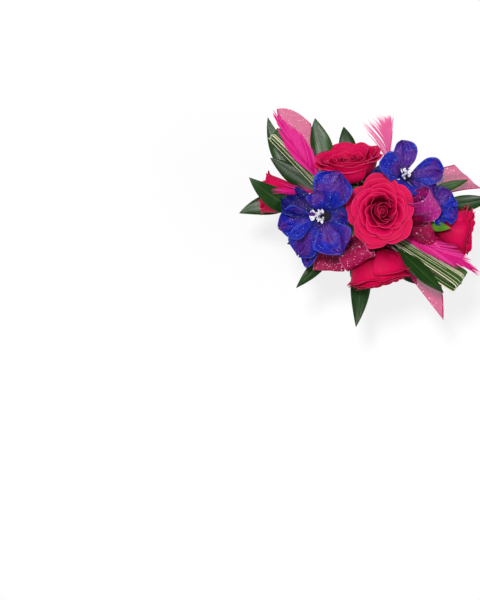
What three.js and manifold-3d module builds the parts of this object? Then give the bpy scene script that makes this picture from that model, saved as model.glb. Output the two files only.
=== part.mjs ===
// Wrist corsage: roses, delphinium, ruscus, feathers, grass and organza bound to an elastic wristlet.
// Millimetres. The wrist runs along X, the flowers face +Z, and the origin is the middle of the wrist.
import * as THREE from "three";
import { mergeVertices } from "three/addons/utils/BufferGeometryUtils.js";
import Module from "manifold-3d";

const wasm = await Module();
wasm.setup();

// Fits
const CLEARANCE = 0.3;
const SEAT_DEPTH = 2.5;
const SEAT_GAP = 1.2 * CLEARANCE;

// Wristlet
const WRIST_WIDTH = 57;
const WRIST_DEPTH = 41;
const ELASTIC_WIDTH = 12;
const ELASTIC_THICKNESS = 1.2;
const STITCHED_TAIL_TURN = 42;
const PLATE_WIDTH = 30;
const PLATE_LENGTH = 38;
const PLATE_THICKNESS = 0.8;
const PLATE_CORNER = 4;
const SLOT_BAR = 2.5;
const PRONG_WIDTH = 4;
const PRONG_FOLD = 3.6;
const PRONG_PITCH = 13;

// Taped core that gathers the stems
const CORE_RADIUS = 12;
const CORE_DOME = 9.5;
const FLANGE_RADIUS = 13.5;
const FLANGE_THICKNESS = 2.2;
const TAPE_WIDTH = 3;
const TAPE_STEP = 0.4;
const WIRE_RADIUS = 0.5;
const WIRE_LEVEL = 1.9;

// Spray
const SPRAY_LENGTH = 129;
const SPRAY_WIDTH = 116;
const SPRAY_HEIGHT = 38;

// Stock of the plants and trimmings
const PETAL_THICKNESS = 0.7;
const SEPAL_THICKNESS = 0.8;
const LEAF_THICKNESS = 0.7;
const RIBBON_WIDTH = 16;
const RIBBON_THICKNESS = 0.5;
const RIBBON_PINCH = 4;
const RIBBON_RIPPLE = 1.2;
const GRASS_THICKNESS = 0.6;
const FOLD_RADIUS = 2.2;
const BARB_THICKNESS = 0.5;
const QUILL_WIDTH = 1.2;
const BARB_SWEEP = 1.3;
const SPLIT_SHARE = 0.55;
const PETIOLE_WIDTH = 1.8;
const ROSE_STEM_RADIUS = 1.5;
const PEDICEL_RADIUS = 1.1;
const HIP_RADIUS = 3.8;
const HIP_HEIGHT = 5;
const CALYX_SEPAL_LENGTH = 7;
const CALYX_SEPAL_WIDTH = 3.2;
const RECEPTACLE_RADIUS = 3.2;
const BUD_SHARE = 0.56;
const BUD_WIDTH = 0.44;
const BUD_BITE = 1.2;
const PETAL_STEP = 1.7;
const FLORET_DISC_RADIUS = 2.6;
const FLORET_DISC_HEIGHT = 2.6;
const SEPAL_STEP = 0.55;
const SEPAL_ROOT = 0.9;
const SEPAL_BOW = 1.2;
const SPUR_LENGTH = 9;
const SPUR_RADIUS = 1.5;
const BEE_PETAL_LENGTH = 5;
const BEE_PETAL_WIDTH = 4;
const BEE_DISC_HEIGHT = 1.2;
const BEE_ROOT = 1;

// Derived levels
const plateUnder = WRIST_DEPTH / 2;
const plateTop = plateUnder + PLATE_THICKNESS;
const flangeTop = CLEARANCE + FLANGE_THICKNESS;

// Rings of rose petals, outermost first: rim and rise are shares of the bloom's radius and depth
const OPEN_RINGS = [
  { count: 5, rim: 1.0, rise: 0.72, belly: 0.92, curl: 0.12, wrap: 43, across: 3, along: 3 },
  { count: 5, rim: 0.79, rise: 0.86, belly: 0.92, curl: 0.08, wrap: 43, across: 3, along: 2 },
  { count: 5, rim: 0.61, rise: 0.94, belly: 0.95, curl: 0.04, wrap: 43, across: 2, along: 2 },
];
const CUPPED_RINGS = [
  { count: 5, rim: 1.0, rise: 0.94, belly: 0.95, curl: 0.1, wrap: 43, across: 3, along: 3 },
  { count: 5, rim: 0.74, rise: 0.98, belly: 0.95, curl: 0.02, wrap: 43, across: 2, along: 2 },
];
const BUD_RINGS = [
  { count: 4, rim: 1.0, rise: 0.95, belly: 0.95, curl: 0.1, wrap: 53, across: 3, along: 3 },
];
const PETAL_TUCK = 0.9;
const HEART_EYE = 0.1;

// Placings, from the middle of the plate's top face, drawn for a spray of 129 x 116 x 38 mm and spread to its
// named size. A seat is a place on the core: azimuth and level.
const spread = [SPRAY_LENGTH / 129, SPRAY_WIDTH / 116, SPRAY_HEIGHT / 38];
const ROSES = [
  { name: "rose_centre", opening: [5.8, 2.6, 34.5], azimuth: 205, elevation: 86, radius: 18.5, depth: 21,
    spin: 20, rings: OPEN_RINGS, heart: 0.46, turns: 2.2, seat: [22, 9] },
  { name: "rose_top", opening: [-8.7, 31, 20], azimuth: 98, elevation: 30, radius: 17.5, depth: 20,
    spin: 50, rings: CUPPED_RINGS, heart: 0.54, turns: 2.4, seat: [115, 6] },
  { name: "rose_bottom", opening: [10, -34.5, 13.5], azimuth: -75, elevation: -2, radius: 17.8, depth: 22,
    spin: 8, rings: CUPPED_RINGS, heart: 0.54, turns: 2, seat: [-72, 6] },
  { name: "rose_right", opening: [55.5, -8.2, 13], azimuth: -10, elevation: 0, radius: 13.5, depth: 25,
    spin: 30, rings: CUPPED_RINGS, heart: 0.54, turns: 2, seat: [-10, 6] },
  { name: "rose_left", opening: [-52.5, 13.2, 13.5], azimuth: 168, elevation: 0, radius: 11, depth: 25,
    spin: 0, rings: BUD_RINGS, heart: 0.58, turns: 1.6, seat: [166, 6] },
];

const DELPHINIUMS = [
  { name: "delphinium_left", centre: [-21.6, 0.4, 27], azimuth: 180, elevation: 80, seat: [180, 6],
    open: true,
    sepals: [
      { azimuth: 65, length: 23, width: 21, lift: 18 },
      { azimuth: 152, length: 21, width: 15, lift: 5 },
      { azimuth: 195, length: 21, width: 16, lift: 4 },
      { azimuth: 237, length: 22, width: 17, lift: -5 },
      { azimuth: 298, length: 20, width: 19, lift: 10 },
      { azimuth: 262, length: 27, width: 9, lift: -20 },
      { azimuth: 5, length: 11, width: 12, lift: 0 },
    ] },
  { name: "delphinium_upper_right", centre: [19.9, 19.9, 23], azimuth: 45, elevation: 65,
    seat: [45, 6], open: true,
    sepals: [
      { azimuth: 99, length: 17, width: 12, lift: 25 },
      { azimuth: 150, length: 18, width: 10, lift: 35 },
      { azimuth: 8, length: 19, width: 11, lift: 14 },
      { azimuth: 324, length: 17, width: 14, lift: 10 },
      { azimuth: 275, length: 7, width: 8, lift: 12 },
    ] },
  { name: "delphinium_right", centre: [34, 4, 19], azimuth: 10, elevation: 75, seat: [8, 6],
    open: false,
    sepals: [
      { azimuth: 45, length: 11, width: 12, lift: 14 },
      { azimuth: 350, length: 12, width: 12, lift: 26 },
      { azimuth: 300, length: 8, width: 8, lift: 24 },
      { azimuth: 95, length: 7, width: 8, lift: 10 },
    ] },
];

const RIBBON_LOOPS = [
  { name: "ribbon_loop_right", seat: [16, 5], via: [21.4, 4.2, 24.7], curl: [33, 7, 32],
    across: [0.45, -0.57, -0.69], bulge: 10.5 },
  { name: "ribbon_loop_lower_right", seat: [-18, 8], via: [24, -6.7, 20], curl: [34, -6.9, 24.5],
    across: [0.3, -0.55, -0.78], bulge: 8 },
  { name: "ribbon_loop_lower", seat: [-108, 7.5], via: [-6, -16, 20], curl: [-6, -23, 29],
    across: [0.9, 0, 0.3], bulge: 9.4 },
];

const RIBBON_TAILS = [
  { name: "ribbon_tail_upper_left", seat: [140, 5], via: [-30, 20, 3], end: [-35.2, 52.8, 6],
    cut: 4, roll: 0 },
  { name: "ribbon_tail_right", seat: [33, 5], via: [28, 18, 10], end: [52.5, 20.6, 13], cut: -6, roll: 35 },
  { name: "ribbon_tail_lower_right", seat: [-46, 5], via: [30, -13, 7], end: [32.2, -40.5, 4],
    cut: 12, roll: 0 },
  { name: "ribbon_tail_lower_left", seat: [-128, 6], via: [-17, -14, 15], end: [-17.7, -26.8, 12],
    cut: 0, roll: 0 },
];

const FEATHERS = [
  { name: "feather_upper_left", seat: [140, 6.5], tip: [-42.5, 49.5, 26], arch: 2, sway: 4, left: 5,
    right: 10, tufts: 6, bare: 0.45 },
  { name: "feather_left", seat: [146, 7], tip: [-45, 11.5, 31], arch: 2, sway: -4, left: 3, right: 3,
    tufts: 4, bare: 0.55 },
  { name: "feather_top", seat: [72, 6], tip: [14.2, 51.4, 13], arch: 1, sway: -3, left: 14, right: 3,
    tufts: 6, bare: 0.4 },
  { name: "feather_lower_right", seat: [-34, 6.5], tip: [57.5, -28.7, 27], arch: 1, left: 6,
    right: 5, tufts: 6, bare: 0.4 },
];

const GRASS_BLADES = [
  { name: "grass_upper_left", seat: [146, 5], fold: [-41.5, 41.5, 17], back: [-3, -2, -4], width: 7.5 },
  { name: "grass_lower_right", seat: [-40, 4.5], fold: [44.5, -31.5, 19], back: [-3, -2, -5], width: 6 },
  { name: "grass_lower_right_outer", seat: [-28, 4], fold: [47, -28.5, 17], back: [2, 2, -4], width: 6 },
];

const LEAVES = [
  { name: "leaf_far_upper_left", seat: [134, 4.5], tip: [-48.3, 52, -2], arch: -2, sway: 3, width: 10,
    bare: 0.4 },
  { name: "leaf_upper_left", seat: [124, 4.5], tip: [-24.7, 50.2, 15], arch: -7, sway: 3, width: 11,
    bare: 0.45 },
  { name: "leaf_top", seat: [104, 4.5], tip: [-9.7, 46.8, 5], arch: -4, width: 9, bare: 0.5 },
  { name: "leaf_mid_left", seat: [156, 4.2], tip: [-47.2, 30.7, 6], arch: 0, width: 10, bare: 0.35 },
  { name: "leaf_left", seat: [182, 4.5], tip: [-58, 19.7, 26], arch: 5, sway: 5, width: 11, bare: 0.4 },
  { name: "leaf_far_left", seat: [172, 4.2], tip: [-63, 2.8, -1], arch: -3, sway: -6, width: 11,
    bare: 0.45 },
  { name: "leaf_lower_left", seat: [-133, 4.2], tip: [-34, -35.4, 4], arch: 0, width: 7, bare: 0.3 },
  { name: "leaf_bottom", seat: [-95, 4.5], tip: [-3.4, -55.3, -2], arch: -3, sway: 1.2, width: 10.5,
    bare: 0.24 },
  { name: "leaf_lower_right", seat: [-44, 7], tip: [39.5, -38, 22], arch: 7, width: 10.5, bare: 0.35 },
  { name: "leaf_under_rose", seat: [-52, 5.5], tip: [27.9, -33.4, 0], arch: 0, width: 9, bare: 0.5 },
  { name: "leaf_right", seat: [26, 4.2], tip: [52.5, 19, 18], arch: 1, width: 5, bare: 0.55 },
  { name: "leaf_far_right", seat: [2, 3.4], tip: [65.6, 10, 5], arch: -2, width: 9, bare: 0.5 },
  { name: "leaf_small_right", seat: [2, 8.5], tip: [42.3, -5.7, 28], arch: -5, width: 5, bare: 0.7 },
  { name: "leaf_side_left", seat: [-160, 4.2], tip: [-38.7, -13.1, 9], arch: 0, width: 9, bare: 0.3 },
];

// Finishes
function finish(color, roughness, metalness = 0) {
  return new THREE.MeshStandardMaterial({ color, roughness, metalness });
}
const ROSE_PINK = () => finish("#d81552", 0.6);
const HIP_GREEN = () => finish("#5a8a32", 0.6);
const DELPHINIUM_BLUE = () => finish("#2c2fb8", 0.6);
const BEE_WHITE = () => finish("#e6e4ee", 0.7);
const ORGANZA_MAGENTA = () => finish("#c2347e", 0.4);
const FEATHER_MAGENTA = () => finish("#e5209a", 0.7);
const GRASS_STRIPED = () => finish("#7d9a5c", 0.5);
const LEAF_GREEN = () => finish("#22491e", 0.3);
const TAPE_GREEN = () => finish("#3f5f34", 0.8);
const WIRE_GREEN = () => finish("#2f4a2a", 0.5);
const PLATE_STEEL = () => finish("#c4c6c8", 0.3, 1);
const ELASTIC_BLACK = () => finish("#151515", 0.9);

// Small helpers
const rad = THREE.MathUtils.degToRad;
const vector = (xyz) => new THREE.Vector3(...xyz);
const spot = (xyz) => vector(xyz.map((value, axis) => value * spread[axis]));
const UP = new THREE.Vector3(0, 0, 1);

function direction(azimuth, elevation) {
  const level = Math.cos(rad(elevation));
  const x = level * Math.cos(rad(azimuth));
  const y = level * Math.sin(rad(azimuth));
  return new THREE.Vector3(x, y, Math.sin(rad(elevation)));
}

function facing(azimuth, elevation) {
  return new THREE.Quaternion().setFromUnitVectors(UP, direction(azimuth, elevation));
}

// Closed geometry to solid and back
function toSolid(geometry) {
  const bare = new THREE.BufferGeometry();
  bare.setAttribute("position", geometry.getAttribute("position").clone());
  bare.setIndex(geometry.index);
  const merged = mergeVertices(bare, 1e-4);
  const corners = merged.index.array;
  const triangles = [];
  for (let i = 0; i < corners.length; i += 3) {
    const [a, b, c] = corners.subarray(i, i + 3);
    if (a !== b && b !== c && c !== a) {
      triangles.push(a, b, c);
    }
  }
  const vertProperties = new Float32Array(merged.getAttribute("position").array);
  const triVerts = new Uint32Array(triangles);
  return new wasm.Manifold(new wasm.Mesh({ numProp: 3, vertProperties, triVerts }));
}

function toGeometry(solid) {
  const mesh = solid.getMesh();
  const geometry = new THREE.BufferGeometry();
  geometry.setAttribute("position", new THREE.BufferAttribute(new Float32Array(mesh.vertProperties), 3));
  geometry.setIndex(new THREE.BufferAttribute(new Uint32Array(mesh.triVerts), 1));
  geometry.computeVertexNormals();
  return geometry;
}

const joined = (geometries) => geometries.map(toSolid).reduce((whole, next) => whole.add(next));

function largestPiece(solid) {
  return solid.decompose().reduce((best, next) => (next.volume() > best.volume() ? next : best));
}

// A thin closed sheet over surface(u, v), with u from -1 to 1 across and v from 0 to 1 along.
// grow widens it all round, for the space that its neighbours keep clear of.
function sheet(surface, thickness, across, along, grow) {
  const box = new THREE.BoxGeometry(2, 1, 2, across, along, 1);
  const corners = box.getAttribute("position");
  const step = 1e-3;
  for (let i = 0; i < corners.count; i += 1) {
    const u = corners.getX(i);
    const v = corners.getY(i) + 0.5;
    const sideways = surface(u + step, v).sub(surface(u - step, v)).normalize();
    const onward = surface(u, v + step).sub(surface(u, v - step)).normalize();
    const normal = sideways.clone().cross(onward).normalize();
    const edge = Math.abs(u) === 1 ? u : 0;
    const end = v === 0 || v === 1 ? 2 * v - 1 : 0;
    const corner = surface(u, v);
    corner.addScaledVector(normal, corners.getZ(i) * (thickness / 2 + grow));
    corner.addScaledVector(sideways, edge * grow);
    corner.addScaledVector(onward, end * grow);
    corners.setXYZ(i, corner.x, corner.y, corner.z);
  }
  return box;
}

function rod(from, to, radius, sides, grow) {
  const along = to.clone().sub(from);
  const geometry = new THREE.CylinderGeometry(radius + grow, radius + grow, along.length() + 2 * grow, sides);
  const turn = new THREE.Quaternion().setFromUnitVectors(new THREE.Vector3(0, 1, 0), along.normalize());
  geometry.applyQuaternion(turn);
  const middle = from.clone().add(to).multiplyScalar(0.5);
  return geometry.translate(middle.x, middle.y, middle.z);
}

// A turned solid about +Z from [radius, height] pairs that start and end on the axis
function turned(profile, sides) {
  const points = profile.map(([radius, height]) => new THREE.Vector2(radius, height));
  return new THREE.LatheGeometry(points, sides).rotateX(Math.PI / 2);
}

function place(geometries, base, quaternion) {
  return geometries.map((geometry) => geometry.applyQuaternion(quaternion).translate(base.x, base.y, base.z));
}

// Seats on the core
const coreRadius = (level) => CORE_RADIUS * Math.sqrt(1 - (level / CORE_DOME) ** 2);

function seatPoint([azimuth, level], depth) {
  const radius = Math.max(coreRadius(level) - depth, 0);
  return direction(azimuth, 0).multiplyScalar(radius).setZ(flangeTop + level);
}

const socket = (seat) => seatPoint(seat, SEAT_DEPTH);
const seatFace = (seat) => seatPoint(seat, -TAPE_STEP - CLEARANCE);

// Wristlet
function plateSolid() {
  const halfX = PLATE_WIDTH / 2;
  const halfY = PLATE_LENGTH / 2;
  const outline = new THREE.Shape();
  outline.moveTo(-halfX + PLATE_CORNER, -halfY);
  outline.lineTo(halfX - PLATE_CORNER, -halfY);
  outline.absarc(halfX - PLATE_CORNER, -halfY + PLATE_CORNER, PLATE_CORNER, -Math.PI / 2, 0);
  outline.absarc(halfX - PLATE_CORNER, halfY - PLATE_CORNER, PLATE_CORNER, 0, Math.PI / 2);
  outline.absarc(-halfX + PLATE_CORNER, halfY - PLATE_CORNER, PLATE_CORNER, Math.PI / 2, Math.PI);
  outline.absarc(-halfX + PLATE_CORNER, -halfY + PLATE_CORNER, PLATE_CORNER, Math.PI, 1.5 * Math.PI);
  const slotX = ELASTIC_WIDTH / 2 + 2 * CLEARANCE;
  for (const side of [-1, 1]) {
    const near = side * slotInner;
    const far = side * barInner;
    const slot = new THREE.Path();
    slot.moveTo(-slotX, near);
    slot.lineTo(slotX, near);
    slot.lineTo(slotX, far);
    slot.lineTo(-slotX, far);
    slot.closePath();
    outline.holes.push(slot);
  }
  const stamping = { depth: PLATE_THICKNESS, bevelEnabled: false, curveSegments: 5 };
  const sheetMetal = new THREE.ExtrudeGeometry(outline, stamping);
  sheetMetal.translate(0, 0, -PLATE_THICKNESS);
  const parts = [sheetMetal];
  for (const side of [-1, 1]) {
    for (const row of [-1, 1]) {
      parts.push(prong(side, (row * PRONG_PITCH) / 2));
    }
  }
  return joined(parts);
}

// A prong rises from the plate's long edge and is bent in over the core's flange
function prong(side, y) {
  const outer = PLATE_WIDTH / 2;
  const inner = outer - PLATE_THICKNESS;
  const under = flangeTop + CLEARANCE;
  const top = under + PLATE_THICKNESS;
  const profile = new THREE.Shape();
  profile.moveTo(outer, -PLATE_THICKNESS);
  profile.lineTo(outer, top - PLATE_THICKNESS);
  profile.absarc(inner, under, PLATE_THICKNESS, 0, Math.PI / 2);
  profile.lineTo(outer - PRONG_FOLD, top);
  profile.lineTo(outer - PRONG_FOLD, under);
  profile.lineTo(inner, under);
  profile.lineTo(inner, -PLATE_THICKNESS);
  profile.closePath();
  const strip = { depth: PRONG_WIDTH, bevelEnabled: false, curveSegments: 4 };
  const bent = new THREE.ExtrudeGeometry(profile, strip);
  bent.rotateX(Math.PI / 2);
  bent.translate(0, y + PRONG_WIDTH / 2, 0);
  return side > 0 ? bent : bent.rotateZ(Math.PI).translate(0, 2 * y, 0);
}

// The strap's run in the YZ plane: up the side of the wrist, over the end bar, through the slot and back
const barOuter = PLATE_LENGTH / 2;
const barInner = barOuter - SLOT_BAR;
const barMiddle = (barOuter + barInner) / 2;
const strapOver = plateTop + CLEARANCE + ELASTIC_THICKNESS / 2;
const strapUnder = plateUnder - CLEARANCE - ELASTIC_THICKNESS / 2;
const hairpin = (strapOver - strapUnder) / 2;
const slotInner = barInner - hairpin - ELASTIC_THICKNESS / 2 - CLEARANCE;
const strapWide = WRIST_WIDTH / 2 + ELASTIC_THICKNESS / 2;
const strapDeep = WRIST_DEPTH / 2 + ELASTIC_THICKNESS / 2;

function strapCurve() {
  const run = new THREE.CurvePath();
  const up = new THREE.EllipseCurve(barMiddle, 0, strapWide - barMiddle, strapOver, 0, Math.PI / 2);
  const level = plateTop - PLATE_THICKNESS / 2;
  const turn = new THREE.EllipseCurve(barInner, level, hairpin, hairpin, Math.PI / 2, 1.5 * Math.PI);
  const tailWide = strapWide - barMiddle - ELASTIC_THICKNESS - CLEARANCE;
  const tailEnd = rad(90 - STITCHED_TAIL_TURN);
  const tail = new THREE.EllipseCurve(barMiddle, 0, tailWide, strapUnder, Math.PI / 2, tailEnd, true);
  run.add(up);
  run.add(new THREE.LineCurve(up.getPoint(1), turn.getPoint(0)));
  run.add(turn);
  run.add(new THREE.LineCurve(turn.getPoint(1), tail.getPoint(0)));
  run.add(tail);
  return run;
}

function strapSheet(curve, side, along, grow) {
  const surface = (u, v) => {
    const point = curve.getPoint(THREE.MathUtils.clamp(v, 0, 1));
    return new THREE.Vector3((u * ELASTIC_WIDTH) / 2, side * point.x, point.y);
  };
  return toSolid(sheet(surface, ELASTIC_THICKNESS, 1, along, grow));
}

const sideStrap = (side, grow) => strapSheet(strapCurve(), side, 26, grow);

function palmStrap() {
  const gap = CLEARANCE / strapDeep;
  return strapSheet(new THREE.EllipseCurve(0, 0, strapWide, strapDeep, -gap, -Math.PI + gap, true), 1, 20, 0);
}

// Core: a flange under a dome of lapped tape
function coreShape(grow) {
  const low = CLEARANCE - grow;
  const profile = [[0, low], [FLANGE_RADIUS + grow, low], [FLANGE_RADIUS + grow, flangeTop + grow]];
  const laps = Math.floor(CORE_DOME / TAPE_WIDTH);
  for (let lap = 0; lap < laps; lap += 1) {
    const edge = lap * TAPE_WIDTH;
    const next = edge + TAPE_WIDTH;
    profile.push([coreRadius(edge) + grow, flangeTop + edge + grow]);
    profile.push([coreRadius(next) + TAPE_STEP + grow, flangeTop + next - TAPE_STEP + grow]);
  }
  profile.push([0, flangeTop + CORE_DOME + grow]);
  return toSolid(turned(profile, 14));
}

// The room that the plate, its prongs and the strap ends take under the spray
function wristletRoom() {
  const height = flangeTop + PLATE_THICKNESS + 2 * CLEARANCE;
  const room = new THREE.BoxGeometry(PLATE_WIDTH + 2 * CLEARANCE, PLATE_LENGTH + 2 * CLEARANCE, height);
  return toSolid(room.translate(0, 0, height / 2));
}

function wireRing(grow) {
  const ring = coreRadius(WIRE_LEVEL) + WIRE_RADIUS + CLEARANCE;
  const loop = new THREE.TorusGeometry(ring, WIRE_RADIUS + grow, 5, 24);
  return toSolid(loop.translate(0, 0, flangeTop + WIRE_LEVEL));
}

// Roses: a solid bud low in the cup carries the feet of the petals and the furled heart
const budTop = (rose) => BUD_SHARE * rose.depth;
const roseFoot = (layer) => HIP_HEIGHT + PETAL_STEP * (layer + 1);

function budRadius(rose, height) {
  const share = (height - HIP_HEIGHT) / (budTop(rose) - HIP_HEIGHT);
  return THREE.MathUtils.lerp(RECEPTACLE_RADIUS, BUD_WIDTH * rose.radius, share);
}

function petalSurface(rose, layer, turn) {
  const ring = rose.rings[layer];
  const foot = roseFoot(layer);
  const rim = ring.rim * rose.radius;
  const tall = ring.rise * rose.depth - foot;
  const profile = new THREE.CubicBezierCurve(
    new THREE.Vector2(budRadius(rose, foot) - BUD_BITE, foot),
    new THREE.Vector2(rim * ring.belly, foot + tall * 0.15),
    new THREE.Vector2(rim * (1 - 1.6 * ring.curl), foot + tall * (0.85 + ring.curl)),
    new THREE.Vector2(rim, foot + tall),
  );
  return (u, v) => {
    const point = profile.getPoint(v * (1 - 0.16 * u ** 4));
    const spread = 0.3 + 0.7 * Math.sin((Math.PI / 2) * Math.min(1.3 * v, 1));
    const angle = turn + u * rad(ring.wrap) * spread;
    const lap = PETAL_TUCK * u * Math.min(2 * v, 1);
    const reach = point.x + lap;
    return new THREE.Vector3(reach * Math.cos(angle), reach * Math.sin(angle), point.y - 0.6 * lap);
  };
}

// The furled middle of a rose: one sheet wound from the petal rings in to the eye
function heartSurface(rose) {
  const foot = budTop(rose) - BUD_BITE;
  const tall = 0.97 * rose.depth - foot;
  return (u, v) => {
    const angle = rad(rose.spin) + 2 * Math.PI * rose.turns * v;
    const rise = (1 + u) / 2;
    const wound = rose.radius * THREE.MathUtils.lerp(rose.heart, HEART_EYE, v);
    const reach = wound * (0.6 + 0.4 * Math.sin((Math.PI / 2) * Math.min(1.2 * rise, 1)));
    const height = foot + tall * rise * (1 - 0.05 * Math.cos(5 * angle));
    return new THREE.Vector3(reach * Math.cos(angle), reach * Math.sin(angle), height);
  };
}

function roseBase(rose) {
  return spot(rose.opening).addScaledVector(direction(rose.azimuth, rose.elevation), -rose.depth);
}

function bloomShape(rose, grow) {
  const low = HIP_HEIGHT + SEAT_GAP - grow;
  const high = budTop(rose) + grow;
  const bud = [[0, low], [RECEPTACLE_RADIUS + grow, low], [BUD_WIDTH * rose.radius + grow, high], [0, high]];
  const shapes = [turned(bud, 8)];
  rose.rings.forEach((ring, layer) => {
    for (let k = 0; k < ring.count; k += 1) {
      const turn = rad(rose.spin + layer * 137.5) + (k * 2 * Math.PI) / ring.count;
      shapes.push(sheet(petalSurface(rose, layer, turn), PETAL_THICKNESS, ring.across, ring.along, grow));
    }
  });
  shapes.push(sheet(heartSurface(rose), PETAL_THICKNESS, 1, Math.round(8 * rose.turns), grow));
  return place(shapes, roseBase(rose), facing(rose.azimuth, rose.elevation));
}

function calyxShape(rose, grow) {
  const shapes = [turned([
    [0, -grow],
    [HIP_RADIUS * 0.5 + grow, -grow],
    [HIP_RADIUS + grow, HIP_HEIGHT * 0.55],
    [HIP_RADIUS * 0.8 + grow, HIP_HEIGHT + grow],
    [0, HIP_HEIGHT + grow],
  ], 7)];
  for (let k = 0; k < 5; k += 1) {
    const turn = rad(rose.spin + 36) + (k * 2 * Math.PI) / 5;
    const surface = (u, v) => {
      const half = (CALYX_SEPAL_WIDTH / 2) * (1 - 0.9 * v);
      const reach = HIP_RADIUS * 0.75 + CALYX_SEPAL_LENGTH * (v - 0.35 * v * v);
      const height = HIP_HEIGHT * 0.8 - CALYX_SEPAL_LENGTH * 0.5 * v * v;
      return new THREE.Vector3(reach, u * half, height).applyAxisAngle(UP, turn);
    };
    shapes.push(sheet(surface, SEPAL_THICKNESS, 1, 1, grow));
  }
  const base = roseBase(rose);
  const turnedShapes = place(shapes, base, facing(rose.azimuth, rose.elevation));
  const root = base.clone().addScaledVector(direction(rose.azimuth, rose.elevation), HIP_HEIGHT / 2);
  return [...turnedShapes, rod(socket(rose.seat), root, ROSE_STEM_RADIUS, 6, grow)];
}

// Delphinium florets
function blade(v) {
  return Math.sin(Math.PI * Math.min(Math.max(v, 0), 1) ** 1.4) ** 0.75;
}

function sepalSurface({ azimuth, length, width, lift }, level) {
  return (u, v) => {
    const along = 1 - Math.max(1 - v, 0) ** 1.6;
    const half = Math.max((width / 2) * blade(along), SEPAL_ROOT * (1 - along), 0.03 * width);
    const reach = FLORET_DISC_RADIUS * 0.6 + length * along * Math.cos(rad(lift));
    const bow = 0.16 * half * u * u + SEPAL_BOW * Math.sin(Math.PI * along);
    const rise = level + length * along * Math.sin(rad(lift)) + bow;
    return new THREE.Vector3(reach, u * half, rise).applyAxisAngle(UP, rad(azimuth));
  };
}

function floretShape(floret, grow) {
  const half = FLORET_DISC_HEIGHT / 2 + grow;
  const wide = FLORET_DISC_RADIUS + grow;
  const shapes = [turned([[0, -half], [wide, -half], [wide, half], [0, half]], 10)];
  floret.sepals.forEach((sepal, k) => {
    const level = k % 2 === 0 ? SEPAL_STEP : -SEPAL_STEP;
    shapes.push(sheet(sepalSurface(sepal, level), SEPAL_THICKNESS, 2, 4, grow));
  });
  const spur = new THREE.CylinderGeometry(SPUR_RADIUS + grow, SPUR_RADIUS * 0.4 + grow, SPUR_LENGTH, 7);
  const back = direction(floret.sepals[0].azimuth, -50);
  spur.applyQuaternion(new THREE.Quaternion().setFromUnitVectors(new THREE.Vector3(0, -1, 0), back));
  const spurMiddle = back.clone().multiplyScalar(SPUR_LENGTH / 2);
  shapes.push(spur.translate(spurMiddle.x, spurMiddle.y, spurMiddle.z));
  const centre = spot(floret.centre);
  const turnedShapes = place(shapes, centre, facing(floret.azimuth, floret.elevation));
  return [...turnedShapes, rod(socket(floret.seat), centre, PEDICEL_RADIUS, 6, grow)];
}

function beeShape(floret, grow) {
  const low = FLORET_DISC_HEIGHT / 2 + SEAT_GAP - grow;
  const wide = FLORET_DISC_RADIUS * 0.6 + grow;
  const high = low + BEE_DISC_HEIGHT + 2 * grow;
  const shapes = [turned([[0, low], [wide, low], [wide, high], [0, high]], 8)];
  for (let k = 0; k < 4; k += 1) {
    const surface = (u, v) => {
      const half = (BEE_PETAL_WIDTH / 2) * (0.25 + 0.75 * Math.sin(Math.PI * 0.8 * v));
      const reach = BEE_ROOT + BEE_PETAL_LENGTH * 0.55 * v;
      const height = (FLORET_DISC_HEIGHT + BEE_DISC_HEIGHT) / 2 + SEAT_GAP + BEE_PETAL_LENGTH * 0.8 * v;
      return new THREE.Vector3(reach, u * half, height).applyAxisAngle(UP, (k + 0.5) * Math.PI * 0.5);
    };
    shapes.push(sheet(surface, SEPAL_THICKNESS, 1, 2, grow));
  }
  return place(shapes, spot(floret.centre), facing(floret.azimuth, floret.elevation));
}

// Pieces that follow a bowed line from the core to a tip
function bowedLine(seat, via, tip) {
  return new THREE.QuadraticBezierCurve3(seatFace(seat), via, tip);
}

// arch lifts the middle of the line and sway bows it to the left of its way
function archedLine({ seat, tip, arch, sway = 0 }) {
  const start = seatFace(seat);
  const end = spot(tip);
  const left = UP.clone().cross(end.clone().sub(start)).normalize();
  const via = start.clone().add(end).multiplyScalar(0.5).addScaledVector(left, 2 * sway);
  via.z += 2 * arch;
  return new THREE.QuadraticBezierCurve3(start, via, end);
}

// Point on a line and the level direction across it, turned by roll about the line
function frameAt(line, v, roll = 0) {
  const point = line.getPoint(v);
  const tangent = line.getTangent(THREE.MathUtils.clamp(v, 0, 1));
  const side = tangent.clone().cross(UP).normalize();
  side.applyAxisAngle(tangent, rad(roll));
  const normal = side.clone().cross(tangent);
  return { point, tangent, side, normal };
}

function leafShape(leaf, grow) {
  const line = archedLine(leaf);
  const surface = (u, v) => {
    const { point, side, normal } = frameAt(line, v);
    const along = Math.max((v - leaf.bare) / (1 - leaf.bare), 0);
    const lance = Math.sin(Math.PI * Math.min(along, 1) ** 0.8) ** 0.9;
    const half = Math.max((leaf.width / 2) * lance, (PETIOLE_WIDTH / 2) * (1 - 0.7 * v));
    return point.addScaledVector(side, u * half).addScaledVector(normal, 0.22 * Math.abs(u) * half);
  };
  return [sheet(surface, LEAF_THICKNESS, 2, 7, grow)];
}

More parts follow.
